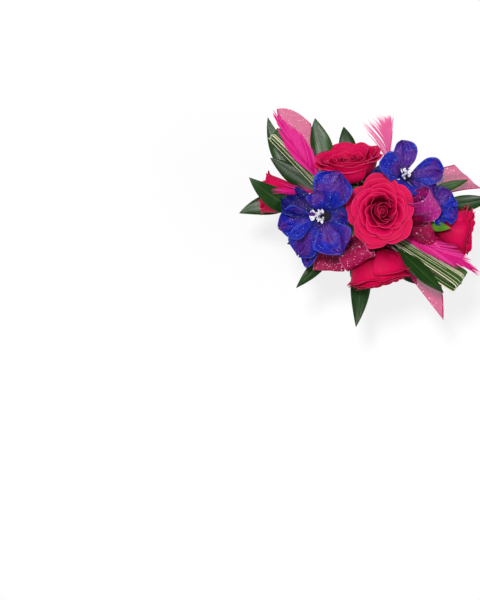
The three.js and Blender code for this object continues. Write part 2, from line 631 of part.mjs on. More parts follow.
// A feather's vane on its quill, its edge split into swept tufts of barbs
function featherShape(spec, grow) {
  const line = archedLine(spec);
  const rows = 2 * spec.tufts;
  const surface = (u, v) => {
    const { point, side, tangent, normal } = frameAt(line, v);
    const along = THREE.MathUtils.clamp((v - spec.bare) / (1 - spec.bare), 0, 1);
    const tuft = Math.round(along * rows) % 2 === 1 ? 1 : SPLIT_SHARE;
    const reach = (u < 0 ? spec.left : spec.right) * Math.sin(Math.PI * (0.12 + 0.84 * along)) * tuft;
    const half = along > 0 ? Math.max(reach, QUILL_WIDTH / 4) : QUILL_WIDTH / 2;
    point.addScaledVector(side, u * half);
    point.addScaledVector(tangent, Math.abs(u) * half * BARB_SWEEP * Math.sign(along));
    return point.addScaledVector(normal, -0.12 * u * u * half);
  };
  return [sheet(surface, BARB_THICKNESS, 2, Math.round(rows / (1 - spec.bare)), grow)];
}

function grassShape(spec, grow) {
  const start = seatFace(spec.seat);
  const fold = spot(spec.fold);
  const back = vector(spec.back);
  const ends = start.clone().addScaledVector(back, 0.6);
  const lower = fold.clone().add(back);
  const onward = fold.clone().sub(start).normalize();
  const turnPoint = fold.clone().add(lower).multiplyScalar(0.5).addScaledVector(onward, FOLD_RADIUS);
  const rise = start.clone().lerp(fold, 0.5).addScaledVector(UP, FOLD_RADIUS);
  const fall = lower.clone().lerp(ends, 0.7);
  const line = new THREE.CatmullRomCurve3([start, rise, fold, turnPoint, lower, fall]);
  const side = onward.clone().cross(UP).normalize();
  const surface = (u, v) => {
    const point = line.getPoint(THREE.MathUtils.clamp(v, 0, 1));
    const half = (spec.width / 2) * (0.45 + 0.55 * Math.sin((Math.PI / 2) * Math.min(2.4 * v, 1)));
    return point.addScaledVector(side, u * half);
  };
  return [sheet(surface, GRASS_THICKNESS, 1, 14, grow)];
}

// Organza: pinched where it is bound, full width along the run
function gather(v) {
  const opened = Math.sin((Math.PI / 2) * Math.min(2.2 * v, 1));
  return THREE.MathUtils.lerp(RIBBON_PINCH, RIBBON_WIDTH, opened);
}

function tailShape(spec, grow) {
  const line = bowedLine(spec.seat, spot(spec.via), spot(spec.end));
  const surface = (u, v) => {
    const { point, side, tangent, normal } = frameAt(line, v, spec.roll * v);
    point.addScaledVector(side, (u * gather(v)) / 2);
    point.addScaledVector(tangent, -spec.cut * u * v ** 3);
    return point.addScaledVector(normal, RIBBON_RIPPLE * Math.sin(2 * Math.PI * v) * u);
  };
  return [sheet(surface, RIBBON_THICKNESS, 4, 10, grow)];
}

function loopShape(spec, grow) {
  const line = bowedLine(spec.seat, spot(spec.via), spot(spec.curl));
  const across = vector(spec.across).normalize();
  const surface = (u, v) => {
    const angle = Math.PI * (0.1 + 1.8 * v);
    const reach = (1 - Math.cos(angle)) / 2;
    const height = spec.bulge * Math.sin(angle) * Math.sin(angle / 2) ** 3 * 0.77;
    const half = gather(Math.min(v, 1 - v) * 1.6) / 2;
    const open = across.clone().cross(line.getTangent(reach)).normalize();
    return line.getPoint(reach).addScaledVector(open, height).addScaledVector(across, u * half);
  };
  return [sheet(surface, RIBBON_THICKNESS, 1, 16, grow)];
}

// The spray in the order that it is laid: each piece keeps clear of those before it
const flowers = [];
const trimmings = [];
const entry = (name, material, shape) => ({ name, material, shape });
for (const rose of ROSES) {
  flowers.push(entry(`${rose.name}_bloom`, ROSE_PINK(), (grow) => bloomShape(rose, grow)));
  flowers.push(entry(`${rose.name}_calyx`, HIP_GREEN(), (grow) => calyxShape(rose, grow)));
}
for (const floret of DELPHINIUMS) {
  flowers.push(entry(`${floret.name}_sepals`, DELPHINIUM_BLUE(), (grow) => floretShape(floret, grow)));
  if (floret.open) {
    flowers.push(entry(`${floret.name}_bee`, BEE_WHITE(), (grow) => beeShape(floret, grow)));
  }
}
for (const loop of RIBBON_LOOPS) {
  trimmings.push(entry(loop.name, ORGANZA_MAGENTA(), (grow) => loopShape(loop, grow)));
}
for (const tail of RIBBON_TAILS) {
  trimmings.push(entry(tail.name, ORGANZA_MAGENTA(), (grow) => tailShape(tail, grow)));
}
for (const feather of FEATHERS) {
  trimmings.push(entry(feather.name, FEATHER_MAGENTA(), (grow) => featherShape(feather, grow)));
}
for (const grass of GRASS_BLADES) {
  trimmings.push(entry(grass.name, GRASS_STRIPED(), (grow) => grassShape(grass, grow)));
}
for (const leaf of LEAVES) {
  trimmings.push(entry(leaf.name, LEAF_GREEN(), (grow) => leafShape(leaf, grow)));
}

function mesh(name, material, solid) {
  const made = new THREE.Mesh(toGeometry(solid), material);
  made.name = name;
  return made;
}

const spray = new THREE.Group();
spray.position.z = plateTop;
const room = [wristletRoom(), wireRing(CLEARANCE)];
for (const side of [-1, 1]) {
  room.push(sideStrap(side, CLEARANCE).translate([0, 0, -plateTop]));
}

function layPiece({ name, material, shape }) {
  const solid = room.reduce((left, taken) => left.subtract(taken), joined(shape(0)));
  spray.add(mesh(name, material, largestPiece(solid)));
  const taken = joined(shape(CLEARANCE));
  room.push(taken);
  return taken;
}

const core = flowers.map(layPiece).reduce((left, taken) => left.subtract(taken), coreShape(0));
room.push(coreShape(CLEARANCE));
trimmings.forEach(layPiece);
spray.add(mesh("taped_core", TAPE_GREEN(), largestPiece(core)));
spray.add(mesh("binding_wire", WIRE_GREEN(), wireRing(0)));
spray.add(mesh("wrist_plate", PLATE_STEEL(), plateSolid()));

const corsage = new THREE.Group();
corsage.name = "wrist_corsage";
corsage.add(spray);
corsage.add(mesh("elastic_side_rear", ELASTIC_BLACK(), sideStrap(1, 0)));
corsage.add(mesh("elastic_side_front", ELASTIC_BLACK(), sideStrap(-1, 0)));
corsage.add(mesh("elastic_palm", ELASTIC_BLACK(), palmStrap()));

export default corsage;
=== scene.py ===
"""Wrist corsage: spray roses, delphinium, ruscus, lily grass, feathers and organza on an elastic wristlet.

Sizes are in millimetres, from the middle of the wristlet plate's top face, until a mesh is written in metres.
"""

import logging
import math
import random
from abc import ABC, abstractmethod
from dataclasses import dataclass
from enum import Enum
from functools import cached_property
from typing import Callable, NamedTuple, Sequence, Union

import bpy
import numpy as np
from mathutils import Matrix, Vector


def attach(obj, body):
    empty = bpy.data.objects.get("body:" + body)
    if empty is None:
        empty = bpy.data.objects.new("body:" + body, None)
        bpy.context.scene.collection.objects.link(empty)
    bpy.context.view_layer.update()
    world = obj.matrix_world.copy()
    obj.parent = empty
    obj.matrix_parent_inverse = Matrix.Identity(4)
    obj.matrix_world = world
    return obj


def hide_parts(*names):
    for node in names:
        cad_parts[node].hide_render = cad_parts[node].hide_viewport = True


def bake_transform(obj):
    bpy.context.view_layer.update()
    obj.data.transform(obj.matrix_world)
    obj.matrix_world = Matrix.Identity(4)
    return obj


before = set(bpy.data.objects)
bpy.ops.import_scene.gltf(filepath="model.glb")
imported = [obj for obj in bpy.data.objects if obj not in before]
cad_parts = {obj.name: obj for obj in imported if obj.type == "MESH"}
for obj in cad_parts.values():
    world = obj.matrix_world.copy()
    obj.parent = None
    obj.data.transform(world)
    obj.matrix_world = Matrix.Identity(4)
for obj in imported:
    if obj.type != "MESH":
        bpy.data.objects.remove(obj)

LOG = logging.getLogger("corsage")

Array = np.ndarray
Surface = Callable[[Array, Array], Array]
Triple = tuple[float, float, float]
Pair = tuple[float, float]
Faces = tuple[int, int]
Colour = tuple[float, float, float]
Operand = Union["Sock", float, Triple]
Looks = dict[str, Operand]
Piece = bpy.types.Object
Material = bpy.types.Material

MM = 0.001
UP = (0.0, 0.0, 1.0)
WHITE = (1.0, 1.0, 1.0)
FULL_TURN = 2 * math.pi
GOLDEN_ANGLE = 137.5
ANY_PHASE = (0, 6.3)

# The taped core on the plate, the depth of stems in it and the clearance of blades that leave it.
PLATE_TOP = 21.3
FLANGE_TOP = 2.5
CORE_RADIUS = 12.0
CORE_DOME = 9.5
SEAT_DEPTH = 2.5
TAPE_CLEAR = 0.7

RIBBON_WIDTH = 16.0
RIBBON_PINCH = 4.0
RIBBON_PLEATS = 2.5

# Faces across and along a blade.
PETAL_FACES = (14, 9)
HEART_FACES = (6, 56)
CALYX_FACES = (4, 8)
SEPAL_FACES = (18, 18)
BEE_FACES = (6, 6)
HOOD_FACES = (8, 8)
TAIL_FACES = (28, 60)
LOOP_FACES = (28, 110)
GRASS_FACES = (8, 70)
LEAF_FACES = (12, 40)
BAND_FACES = (4, 230)

# Shades outside 0 to 1 mark what is coloured apart: green stalks, throats painted near-black as shade, and the
# striped hood.
STALK_SHADE = -1.0
HOOD_SHADE = 2.0

# Radius of a tube's closed end, and the distance in metres under which its points are merged.
CLOSED = 1e-4
MERGED = 1e-6


class Body(Enum):
    """The two bodies of the frame."""

    SPRAY = "spray"
    BAND = "band"


class Slot(Enum):
    """Names of the record's material slots, which new pieces are passed but not given."""

    ROSE_PETAL = "rose_petal"
    ROSE_GREEN = "rose_green"
    DELPHINIUM = "delphinium_blue"
    BEE = "bee_white"
    ORGANZA = "organza"
    FEATHER = "feather"
    GRASS = "striped_grass"
    LEAF = "ruscus_leaf"
    ELASTIC = "elastic"


# ---------------------------------------------------------------- geometry helpers


def direction(azimuth: float, elevation: float) -> Array:
    """Unit vector at an azimuth from +X and an elevation above the plate, in degrees."""
    a, e = math.radians(azimuth), math.radians(elevation)
    return np.array((math.cos(a) * math.cos(e), math.sin(a) * math.cos(e), math.sin(e)))


def facing(azimuth: float, elevation: float) -> Array:
    """Matrix that turns +Z the short way to an azimuth and an elevation in degrees."""
    turn = Vector(UP).rotation_difference(Vector(direction(azimuth, elevation)))
    return np.array(turn.to_matrix())


def seat_point(seat: Pair, depth: float) -> Array:
    """Gives a place on the taped core.

    Args:
        seat: azimuth in degrees and level above the flange.
        depth: how far inside the core's skin.

    Returns:
        The point.
    """
    azimuth, level = seat
    radius = CORE_RADIUS * math.sqrt(1 - (level / CORE_DOME) ** 2) - depth
    point = direction(azimuth, 0) * max(radius, 0)
    point[2] = FLANGE_TOP + level
    return point


def unit(vectors: Array) -> Array:
    """Scales rows of vectors to length one."""
    return vectors / np.maximum(np.linalg.norm(vectors, axis=-1, keepdims=True), 1e-9)


def spun(reach: Array, offset: Array, height: Array, angle: Union[float, Array]) -> Array:
    """Points of X reach, Y offset and Z height, turned about +Z by an angle in radians."""
    c, s = np.cos(angle), np.sin(angle)
    return np.stack((reach * c - offset * s, reach * s + offset * c, height), axis=-1)


def bezier(controls: Sequence[Pair], t: Array) -> tuple[Array, Array]:
    """Follows a flat cubic curve.

    Args:
        controls: its four points.
        t: places along it from 0 to 1.

    Returns:
        The two coordinates.
    """
    a, b, c, d = (np.array(p) for p in controls)
    t = t[:, None]
    p = a * (1 - t) ** 3 + 3 * b * t * (1 - t) ** 2 + 3 * c * t * t * (1 - t) + d * t**3
    return p[:, 0], p[:, 1]


def eased(value: Array, low: float, high: float) -> Array:
    """Smooth step from 0 at low to 1 at high."""
    t = np.clip((value - low) / (high - low), 0, 1)
    return t * t * (3 - 2 * t)


def swelling(value: Array) -> Array:
    """Rise from 0 at 0 to 1 at 1 and beyond, quick at first."""
    return np.sin(np.pi / 2 * np.minimum(value, 1))


def run_lengths(points: Array) -> Array:
    """Length of a line up to each of its points."""
    return np.concatenate(((0,), np.cumsum(np.linalg.norm(np.diff(points, axis=0), axis=1))))


@dataclass(frozen=True)
class Bow:
    """A line from a start over a via point to an end."""

    start: Array
    via: Array
    end: Array

    @classmethod
    def arched(cls, seat: Pair, tip: Triple, arch: float, sway: float) -> "Bow":
        """Makes a line from the core to a tip.

        Args:
            seat: where it leaves the core.
            tip: its end.
            arch: how far its middle is lifted.
            sway: how far its middle is bowed to the left.

        Returns:
            The line.
        """
        start, end = seat_point(seat, -TAPE_CLEAR), np.array(tip, float)
        left = unit(np.cross(UP, end - start))
        via = (start + end) / 2 + left * 2 * sway + np.array((0, 0, 2 * arch))
        return cls(start, via, end)

    def at(self, t: Array) -> Array:
        """Points at shares t of the line."""
        t = np.asarray(t, float)[..., None]
        return self.start * (1 - t) ** 2 + 2 * self.via * t * (1 - t) + self.end * t * t

    def tangent(self, t: Array) -> Array:
        """Unit tangents at shares t of the line."""
        t = np.clip(np.asarray(t, float), 0, 1)[..., None]
        return unit((self.via - self.start) * (1 - t) + (self.end - self.via) * t)

    def axes(self, t: Array, roll: Union[float, Array] = 0.0) -> tuple[Array, Array, Array]:
        """Gives the directions along, across and out of a blade on the line.

        Args:
            t: shares of the line.
            roll: turn about the line in degrees.

        Returns:
            Tangents, sides and normals.
        """
        tangent = self.tangent(t)
        side = unit(np.cross(tangent, UP))
        normal = np.cross(side, tangent)
        turn = np.radians(np.asarray(roll, float))[..., None]
        c, s = np.cos(turn), np.sin(turn)
        return tangent, side * c - normal * s, normal * c + side * s

    def length(self, samples: int = 60) -> float:
        """Length of the line, measured over a number of points."""
        return float(run_lengths(self.at(np.linspace(0, 1, samples)))[-1])


# ---------------------------------------------------------------- shading


def _operator(operation: str, swapped: bool = False) -> Callable[..., "Sock"]:
    """Gives a method that adds one math node.

    Args:
        operation: the node's operation.
        swapped: whether the other operand comes first.

    Returns:
        The method.
    """

    def method(self: "Sock", other: Operand = 0.0) -> "Sock":
        """Adds the node."""
        first, second = (other, self) if swapped else (self, other)
        return self.shader.node("ShaderNodeMath", {"operation": operation}, {0: first, 1: second})

    return method


class Sock:
    """A node's output that takes part in arithmetic."""

    __add__, __radd__ = _operator("ADD"), _operator("ADD", swapped=True)
    __sub__, __rsub__ = _operator("SUBTRACT"), _operator("SUBTRACT", swapped=True)
    __mul__, __rmul__ = _operator("MULTIPLY"), _operator("MULTIPLY", swapped=True)
    __lt__, __gt__ = _operator("LESS_THAN"), _operator("GREATER_THAN")
    __abs__, sine, above = _operator("ABSOLUTE"), _operator("SINE"), _operator("MAXIMUM")

    def __init__(self, shader: "Shader", socket: bpy.types.NodeSocket | None) -> None:
        """Wraps an output in a tree."""
        self.shader = shader
        self.socket = socket

    def sibling(self, output: int | str) -> "Sock":
        """Another output of the same node."""
        return Sock(self.shader, self.socket.node.outputs[output])


class Coat(NamedTuple):
    """A colour that is laid over others."""

    colour: Colour
    where: Sock
    strength: float = 1.0


class Shader:
    """Builds the node tree of a material or of the world."""

    def __init__(self, owner: Union[Material, bpy.types.World]) -> None:
        """Starts an empty tree.

        Args:
            owner: the material or world that holds it.
        """
        owner.use_nodes = True
        self.tree = owner.node_tree
        self.tree.nodes.clear()

    def node(
        self,
        kind: str,
        settings: dict[str, object] | None = None,
        inputs: dict[int | str, Operand] | None = None,
        output: int | str = 0,
    ) -> Sock:
        """Adds a node.

        Args:
            kind: its type.
            settings: its properties.
            inputs: values or links for its sockets.
            output: the output to give.

        Returns:
            That output, which is empty where the node has none.
        """
        made = self.tree.nodes.new(kind)
        for key, value in (settings or {}).items():
            setattr(made, key, value)
        for key, value in (inputs or {}).items():
            if isinstance(value, Sock):
                self.tree.links.new(value.socket, made.inputs[key])
            elif isinstance(value, tuple) and made.inputs[key].type == "RGBA":
                made.inputs[key].default_value = (*value, 1.0)
            else:
                made.inputs[key].default_value = value
        return Sock(self, made.outputs[output] if made.outputs else None)

    def close(self, surface: Sock, kind: str = "ShaderNodeOutputMaterial") -> None:
        """Links a surface to the tree's output."""
        self.node(kind, inputs={"Surface": surface})

    @cached_property
    def place(self) -> Sock:
        """Object coordinates, in metres."""
        return self.node("ShaderNodeTexCoord", output="Object")

    @cached_property
    def u(self) -> Sock:
        """Place across the blade, from 0 to 1."""
        return self.split(self.node("ShaderNodeTexCoord", output="UV"))

    @cached_property
    def v(self) -> Sock:
        """Place along the blade."""
        return self.u.sibling(1)

    @cached_property
    def side(self) -> Sock:
        """Distance from the blade's middle line, from 0 to 0.5."""
        return abs(self.u - 0.5)

    @cached_property
    def shade(self) -> Sock:
        """The value that differs from petal to petal and from barb to barb."""
        return self.node("ShaderNodeAttribute", {"attribute_name": "shade"}, output="Fac")

    def split(self, vector: Sock) -> Sock:
        """The first coordinate of a vector; the others are its siblings."""
        return self.node("ShaderNodeSeparateXYZ", inputs={0: vector})

    def vector(self, x: Operand, y: Operand, z: Operand = 0.0) -> Sock:
        """Joins three values."""
        return self.node("ShaderNodeCombineXYZ", inputs={0: x, 1: y, 2: z})

    def noise(self, vector: Sock, scale: float, detail: float = 2.0) -> Sock:
        """Noise from 0 to 1 over a vector."""
        return self.node("ShaderNodeTexNoise", inputs={"Vector": vector, "Scale": scale, "Detail": detail})

    def streaks(self, across: float, along: float, variety: float = 0.0, detail: float = 2.0) -> Sock:
        """Noise drawn out along a blade: streaks across, changes along, and the variety between shades."""
        return self.noise(self.vector(self.u * across, self.v * along, self.shade * variety), 1.0, detail)

    def smooth(self, value: Operand, low: float, high: float) -> Sock:
        """Smooth step from 0 at low to 1 at high."""
        settings = {"interpolation_type": "SMOOTHSTEP"}
        return self.node("ShaderNodeMapRange", settings, {0: value, 1: low, 2: high})

    def coated(self, base: Operand, *coats: Coat) -> Operand:
        """Lays coats over a base colour, by the colour sockets 6, 7 and 2 of the mix node.

        Args:
            base: the colour underneath.
            *coats: what lies over it, in order.

        Returns:
            The colour.
        """
        settings = {"data_type": "RGBA", "clamp_factor": True}
        for coat in coats:
            inputs = {0: coat.where * coat.strength, 6: base, 7: coat.colour}
            base = self.node("ShaderNodeMix", settings, inputs, 2)
        return base

    def glitter(self, scale: float, share: float, size: float) -> Sock:
        """Sparse round specks.

        Args:
            scale: cells to the metre.
            share: share of the cells that hold a speck.
            size: a speck's radius in cells.

        Returns:
            1 on a speck and 0 off it.
        """
        far = self.node("ShaderNodeTexVoronoi", inputs={"Vector": self.place, "Scale": scale}, output="Distance")
        pick = self.node("ShaderNodeSeparateColor", inputs={0: far.sibling("Color")})
        return (far < size) * (pick < share)

    def bump(self, height: Sock, strength: float, distance: float) -> Sock:
        """A normal bent by a height."""
        return self.node("ShaderNodeBump", inputs={"Height": height, "Strength": strength, "Distance": distance})


class Finish(ABC):
    """A procedural material."""

    name: str

    @abstractmethod
    def _looks(self, s: Shader) -> Looks:
        """Gives the inputs of the Principled surface.

        Args:
            s: the material's node tree.

        Returns:
            The inputs by name, with underscores for blanks.
        """

    def make(self) -> Material:
        """Builds the material.

        Returns:
            The material.
        """
        material = bpy.data.materials.new(self.name)
        s = Shader(material)
        looks = {key.replace("_", " "): value for key, value in self._looks(s).items()}
        s.close(s.node("ShaderNodeBsdfPrincipled", inputs=looks))
        return material


@dataclass(frozen=True)
class RosePetalFinish(Finish):
    """Velvety hot pink petals with deeper veins; painted shade darkens each petal's foot and the heart, and a
    painted highlight pales the rim.
    """

    name: str = "rose_petal"
    deep_vein_and_shade: Colour = (0.20, 0.0, 0.012)
    body: Colour = (0.61, 0.001, 0.068)
    light: Colour = (0.67, 0.002, 0.095)
    rim: Colour = (0.80, 0.045, 0.170)

    def _looks(self, s: Shader) -> Looks:
        """Overrides Finish._looks."""
        veins = s.streaks(across=26, along=2.4, variety=9, detail=3)
        cloud = s.noise(s.place, scale=190)
        colour = s.coated(
            self.deep_vein_and_shade,
            # Painted shade: each petal is darker towards its foot, where the ring above shades it.
            Coat(self.body, s.smooth(s.v, 0.15, 0.72)),
            Coat(self.light, s.smooth(cloud * 0.6 + s.shade * 0.5, 0.4, 0.8), 0.6),
            Coat(self.deep_vein_and_shade, s.smooth(veins, 0.5, 0.8), 0.35),
            # Painted shade: the heart's inner rings, its furled sheet and the pith carry low shades and are painted
            # darker.
            Coat(self.deep_vein_and_shade, s.smooth(0.1 - s.shade, 0.0, 0.7), 0.75),
            # Painted highlight: a pale line along the rolled rim.
            Coat(self.rim, s.smooth(s.v, 0.955, 1.0), 0.6),
        )
        return dict(
            Base_Color=colour,
            Roughness=0.5 + veins * 0.2,
            Normal=s.bump(veins, strength=0.25, distance=0.0004),
            Specular_IOR_Level=0.1,
            Subsurface_Weight=0.3,
            Subsurface_Radius=(0.004, 0.0006, 0.0012),
        )


@dataclass(frozen=True)
class DelphiniumFinish(Finish):
    """Ultramarine sepals with purple patches, glitter, pale edges partly painted sheen and painted shade; the stalk
    is green.
    """

    name: str = "delphinium_blue"
    blue: Colour = (0.007, 0.013, 0.38)
    purple: Colour = (0.085, 0.016, 0.28)
    pale: Colour = (0.055, 0.110, 0.66)
    deep_vein_and_shade: Colour = (0.005, 0.003, 0.075)
    stalk: Colour = (0.09, 0.20, 0.05)
    dust: Colour = (0.75, 0.80, 0.98)

    def _looks(self, s: Shader) -> Looks:
        """Overrides Finish._looks."""
        veins = s.streaks(across=24, along=1.8, variety=7, detail=3)
        middle = s.smooth(0.5 - s.side, 0.08, 0.4)
        patch = s.smooth(s.noise(s.place, scale=95) + s.shade * 0.22 + middle * 0.10, 0.60, 0.77)
        # Pale edges: partly the sepal's own paler rim and partly a painted sheen.
        edge = s.smooth(s.side, 0.43, 0.5).above(s.smooth(s.v, 0.92, 1.0))
        # Painted shade: sepals of low shade, lying under others, and each sepal's foot by the throat are darkened.
        painted_shade = s.smooth(0.45 - s.shade, 0.0, 0.45).above(s.smooth(0.25 - s.v, 0.0, 0.25))
        dust = s.glitter(scale=1900, share=0.13, size=0.26)
        colour = s.coated(
            self.blue,
            Coat(self.purple, patch),
            Coat(self.pale, edge, 0.45),
            Coat(self.deep_vein_and_shade, s.smooth(veins, 0.48, 0.74), 0.8),
            Coat(self.deep_vein_and_shade, painted_shade, 0.8),
            Coat(self.dust, dust, 0.6),
            Coat(self.stalk, s.shade < STALK_SHADE / 2),
        )
        return dict(
            Base_Color=colour,
            Roughness=0.42 - dust * 0.25,
            Normal=s.bump(veins + s.noise(s.place, scale=420, detail=3) * 1.6, strength=0.8, distance=0.0008),
            Specular_IOR_Level=0.28,
            Subsurface_Weight=0.1,
            Subsurface_Radius=(0.001, 0.001, 0.003),
        )


@dataclass(frozen=True)
class BeeFinish(Finish):
    """Whitish inner petals, greyer at the foot, with violet flecks; the throat is painted near-black as shade in the
    flower's middle.
    """

    name: str = "bee_white"
    white: Colour = (0.80, 0.79, 0.84)
    grey: Colour = (0.20, 0.17, 0.30)
    throat: Colour = (0.006, 0.003, 0.014)
    stripe: Colour = (0.07, 0.012, 0.19)

    def _looks(self, s: Shader) -> Looks:
        """Overrides Finish._looks."""
        fleck = s.smooth(s.noise(s.place, scale=1100, detail=3), 0.5, 0.65)
        stripe = (s.shade > 0.75 * HOOD_SHADE) * s.smooth(0.22 - abs(s.u - 0.38), 0.0, 0.06)
        colour = s.coated(
            self.grey,
            Coat(self.white, s.smooth(s.v + s.shade * 0.3, 0.3, 0.8)),
            Coat(self.grey, fleck, 0.75),
            Coat(self.stripe, stripe),
            # Painted shade: the throat tube is coloured near-black.
            Coat(self.throat, s.shade < STALK_SHADE / 2),
        )
        return dict(
            Base_Color=colour,
            Roughness=0.6 + s.u * 0.1,
            Specular_IOR_Level=0.15,
            Subsurface_Weight=0.1,
            Subsurface_Radius=(0.001, 0.001, 0.001),
        )


@dataclass(frozen=True)
class OrganzaFinish(Finish):
    """Sheer woven magenta ribbon with a firm selvedge and sparse glitter; v runs in ribbon widths."""

    name: str = "organza"
    cover: float = 0.70
    magenta: Colour = (0.58, 0.012, 0.16)
    selvedge: Colour = (0.36, 0.006, 0.12)
    pleats_and_shade: Colour = (0.20, 0.004, 0.07)
    spark: Colour = (0.98, 0.78, 0.92)
    threads: float = 44.0

    def _looks(self, s: Shader) -> Looks:
        """Overrides Finish._looks."""
        turn = FULL_TURN * self.threads
        weave = (s.u * turn).sine() * 0.25 + (s.v * turn).sine() * 0.25 + 0.5
        edge = s.smooth(s.side, 0.455, 0.475)
        fine, coarse = s.glitter(scale=1900, share=0.11, size=0.33), s.glitter(scale=620, share=0.05, size=0.26)
        spark = fine.above(coarse)
        cloud = s.noise(s.place, scale=220)
        # Darker and denser towards the bound end: partly gathered layers of cloth and partly painted shade among the
        # flowers at the core.
        bound = s.smooth(0.9 - s.v, 0.0, 0.9)
        colour = s.coated(
            self.magenta,
            Coat(self.selvedge, edge, 0.75),
            Coat(self.pleats_and_shade, bound, 0.6),
            Coat(self.spark, spark, 0.85),
        )
        return dict(
            Base_Color=colour,
            Alpha=self.cover + weave * 0.14 + edge * 0.3 + spark * 0.4 + cloud * 0.12 + bound * 0.4,
            Roughness=0.45 - spark * 0.25,
            Specular_IOR_Level=0.25,
            Normal=s.bump(weave + cloud * 2, strength=0.25, distance=0.0003),
        )


@dataclass(frozen=True)
class FeatherFinish(Finish):
    """Dyed barbs, each of its own tone, some of them pale."""

    name: str = "feather"
    body: Colour = (0.56, 0.001, 0.16)
    dark: Colour = (0.38, 0.0, 0.09)
    pale: Colour = (0.74, 0.05, 0.31)

    def _looks(self, s: Shader) -> Looks:
        """Overrides Finish._looks."""
        grain = s.noise(s.place, scale=900)
        colour = s.coated(
            self.dark,
            Coat(self.body, s.smooth(s.shade, 0.0, 0.55)),
            Coat(self.pale, s.smooth(s.shade, 0.72, 1.0), 0.8),
            Coat(self.pale, s.smooth(s.v, 0.6, 1.0), 0.3),
            Coat(self.dark, s.smooth(grain, 0.5, 0.8), 0.3),
        )
        return dict(Base_Color=colour, Roughness=0.6 + grain * 0.2, Specular_IOR_Level=0.12)


@dataclass(frozen=True)
class GrassFinish(Finish):
    """Green lily grass with cream stripes along the blade."""

    name: str = "striped_grass"
    green: Colour = (0.040, 0.12, 0.013)
    dark: Colour = (0.008, 0.034, 0.004)
    cream: Colour = (0.82, 0.80, 0.55)

    def _looks(self, s: Shader) -> Looks:
        """Overrides Finish._looks."""
        broad, fine = s.streaks(across=9, along=0.3, variety=5, detail=1), s.streaks(across=60, along=2)
        stripe = s.smooth(broad, 0.59, 0.62).above(s.smooth(s.side, 0.455, 0.47))
        colour = s.coated(
            self.green,
            Coat(self.dark, s.smooth(fine, 0.35, 0.7)),
            Coat(self.cream, stripe, 0.92),
            Coat(self.green, s.smooth(fine, 0.55, 0.75), 0.25),
        )
        return dict(
            Base_Color=colour,
            Roughness=0.34 + fine * 0.15,
            Normal=s.bump(fine, strength=0.3, distance=0.0003),
            Specular_IOR_Level=0.25,
        )


@dataclass(frozen=True)
class LeafFinish(Finish):
    """Dark glossy ruscus with fine parallel veins and a paler midrib and edge."""

    name: str = "ruscus_leaf"
    green: Colour = (0.007, 0.033, 0.004)
    light: Colour = (0.026, 0.080, 0.009)
    rib: Colour = (0.06, 0.13, 0.035)

    def _looks(self, s: Shader) -> Looks:
        """Overrides Finish._looks."""
        veins = s.streaks(across=34, along=1.5, variety=11)
        cloud = s.noise(s.place, scale=140, detail=3)
        middle = s.smooth(0.03 - s.side, 0.0, 0.02)
        colour = s.coated(
            self.green,
            Coat(self.light, s.smooth(cloud * 0.7 + s.shade * 0.4, 0.35, 0.85)),
            Coat(self.light, s.smooth(veins, 0.52, 0.72), 0.3),
            Coat(self.rib, middle, 0.55),
            Coat(self.rib, s.smooth(s.side, 0.46, 0.5), 0.5),
        )
        return dict(
            Base_Color=colour,
            Roughness=0.22 + veins * 0.1,
            Normal=s.bump(veins - middle * 0.8, strength=0.14, distance=0.0004),
            Specular_IOR_Level=0.15,
        )


@dataclass(frozen=True)
class StemFinish(Finish):
    """Soft green of hips, sepals and stems, with a red flush."""

    name: str = "rose_green"
    green: Colour = (0.10, 0.235, 0.045)
    dark: Colour = (0.035, 0.115, 0.022)
    flush: Colour = (0.22, 0.07, 0.05)

    def _looks(self, s: Shader) -> Looks:
        """Overrides Finish._looks."""
        grain = s.streaks(across=20, along=2)
        flushed = s.smooth(s.noise(s.place, scale=260), 0.58, 0.75)
        colour = s.coated(
            self.green,
            Coat(self.dark, s.smooth(grain, 0.35, 0.7)),
            Coat(self.flush, flushed, 0.5),
        )
        relief = s.bump(grain, strength=0.3, distance=0.0004)
        return dict(Base_Color=colour, Roughness=0.45 + grain * 0.15, Normal=relief)


@dataclass(frozen=True)
class TapeFinish(Finish):
    """Waxy crinkled floral tape."""

    name: str = "floral_tape"
    green: Colour = (0.050, 0.130, 0.036)
    worn: Colour = (0.10, 0.20, 0.075)

    def _looks(self, s: Shader) -> Looks:
        """Overrides Finish._looks."""
        crinkle, cloud = s.noise(s.place, scale=700, detail=4), s.noise(s.place, scale=180)
        colour = s.coated(self.green, Coat(self.worn, s.smooth(crinkle * 0.6 + cloud * 0.5, 0.45, 0.7)))
        relief = s.bump(crinkle, strength=0.6, distance=0.0006)
        return dict(Base_Color=colour, Roughness=0.55 + crinkle * 0.2, Normal=relief)


@dataclass(frozen=True)
class WireFinish(Finish):
    """Green enamelled binding wire."""

    name: str = "coated_wire"
    green: Colour = (0.022, 0.070, 0.022)
    worn: Colour = (0.10, 0.16, 0.10)

    def _looks(self, s: Shader) -> Looks:
        """Overrides Finish._looks."""
        wear = s.smooth(s.noise(s.place, scale=900, detail=3), 0.58, 0.7)
        return dict(Base_Color=s.coated(self.green, Coat(self.worn, wear)), Roughness=0.3 + wear * 0.2)


@dataclass(frozen=True)
class SteelFinish(Finish):
    """Brushed bright plate with faint smears."""

    name: str = "plate_steel"
    bright: Colour = (0.60, 0.60, 0.62)
    dull: Colour = (0.40, 0.40, 0.43)

    def _looks(self, s: Shader) -> Looks:
        """Overrides Finish._looks."""
        across = s.split(s.place)
        brush = s.noise(s.vector(across * 9000, across.sibling(1) * 180), scale=1.0)
        smear = s.noise(s.place, scale=120, detail=3)
        return dict(
            Base_Color=s.coated(self.bright, Coat(self.dull, brush * 0.5 + smear * 0.4)),
            Metallic=1.0,
            Roughness=0.24 + smear * 0.2 + brush * 0.08,
            Normal=s.bump(brush, strength=0.12, distance=0.0001),
        )


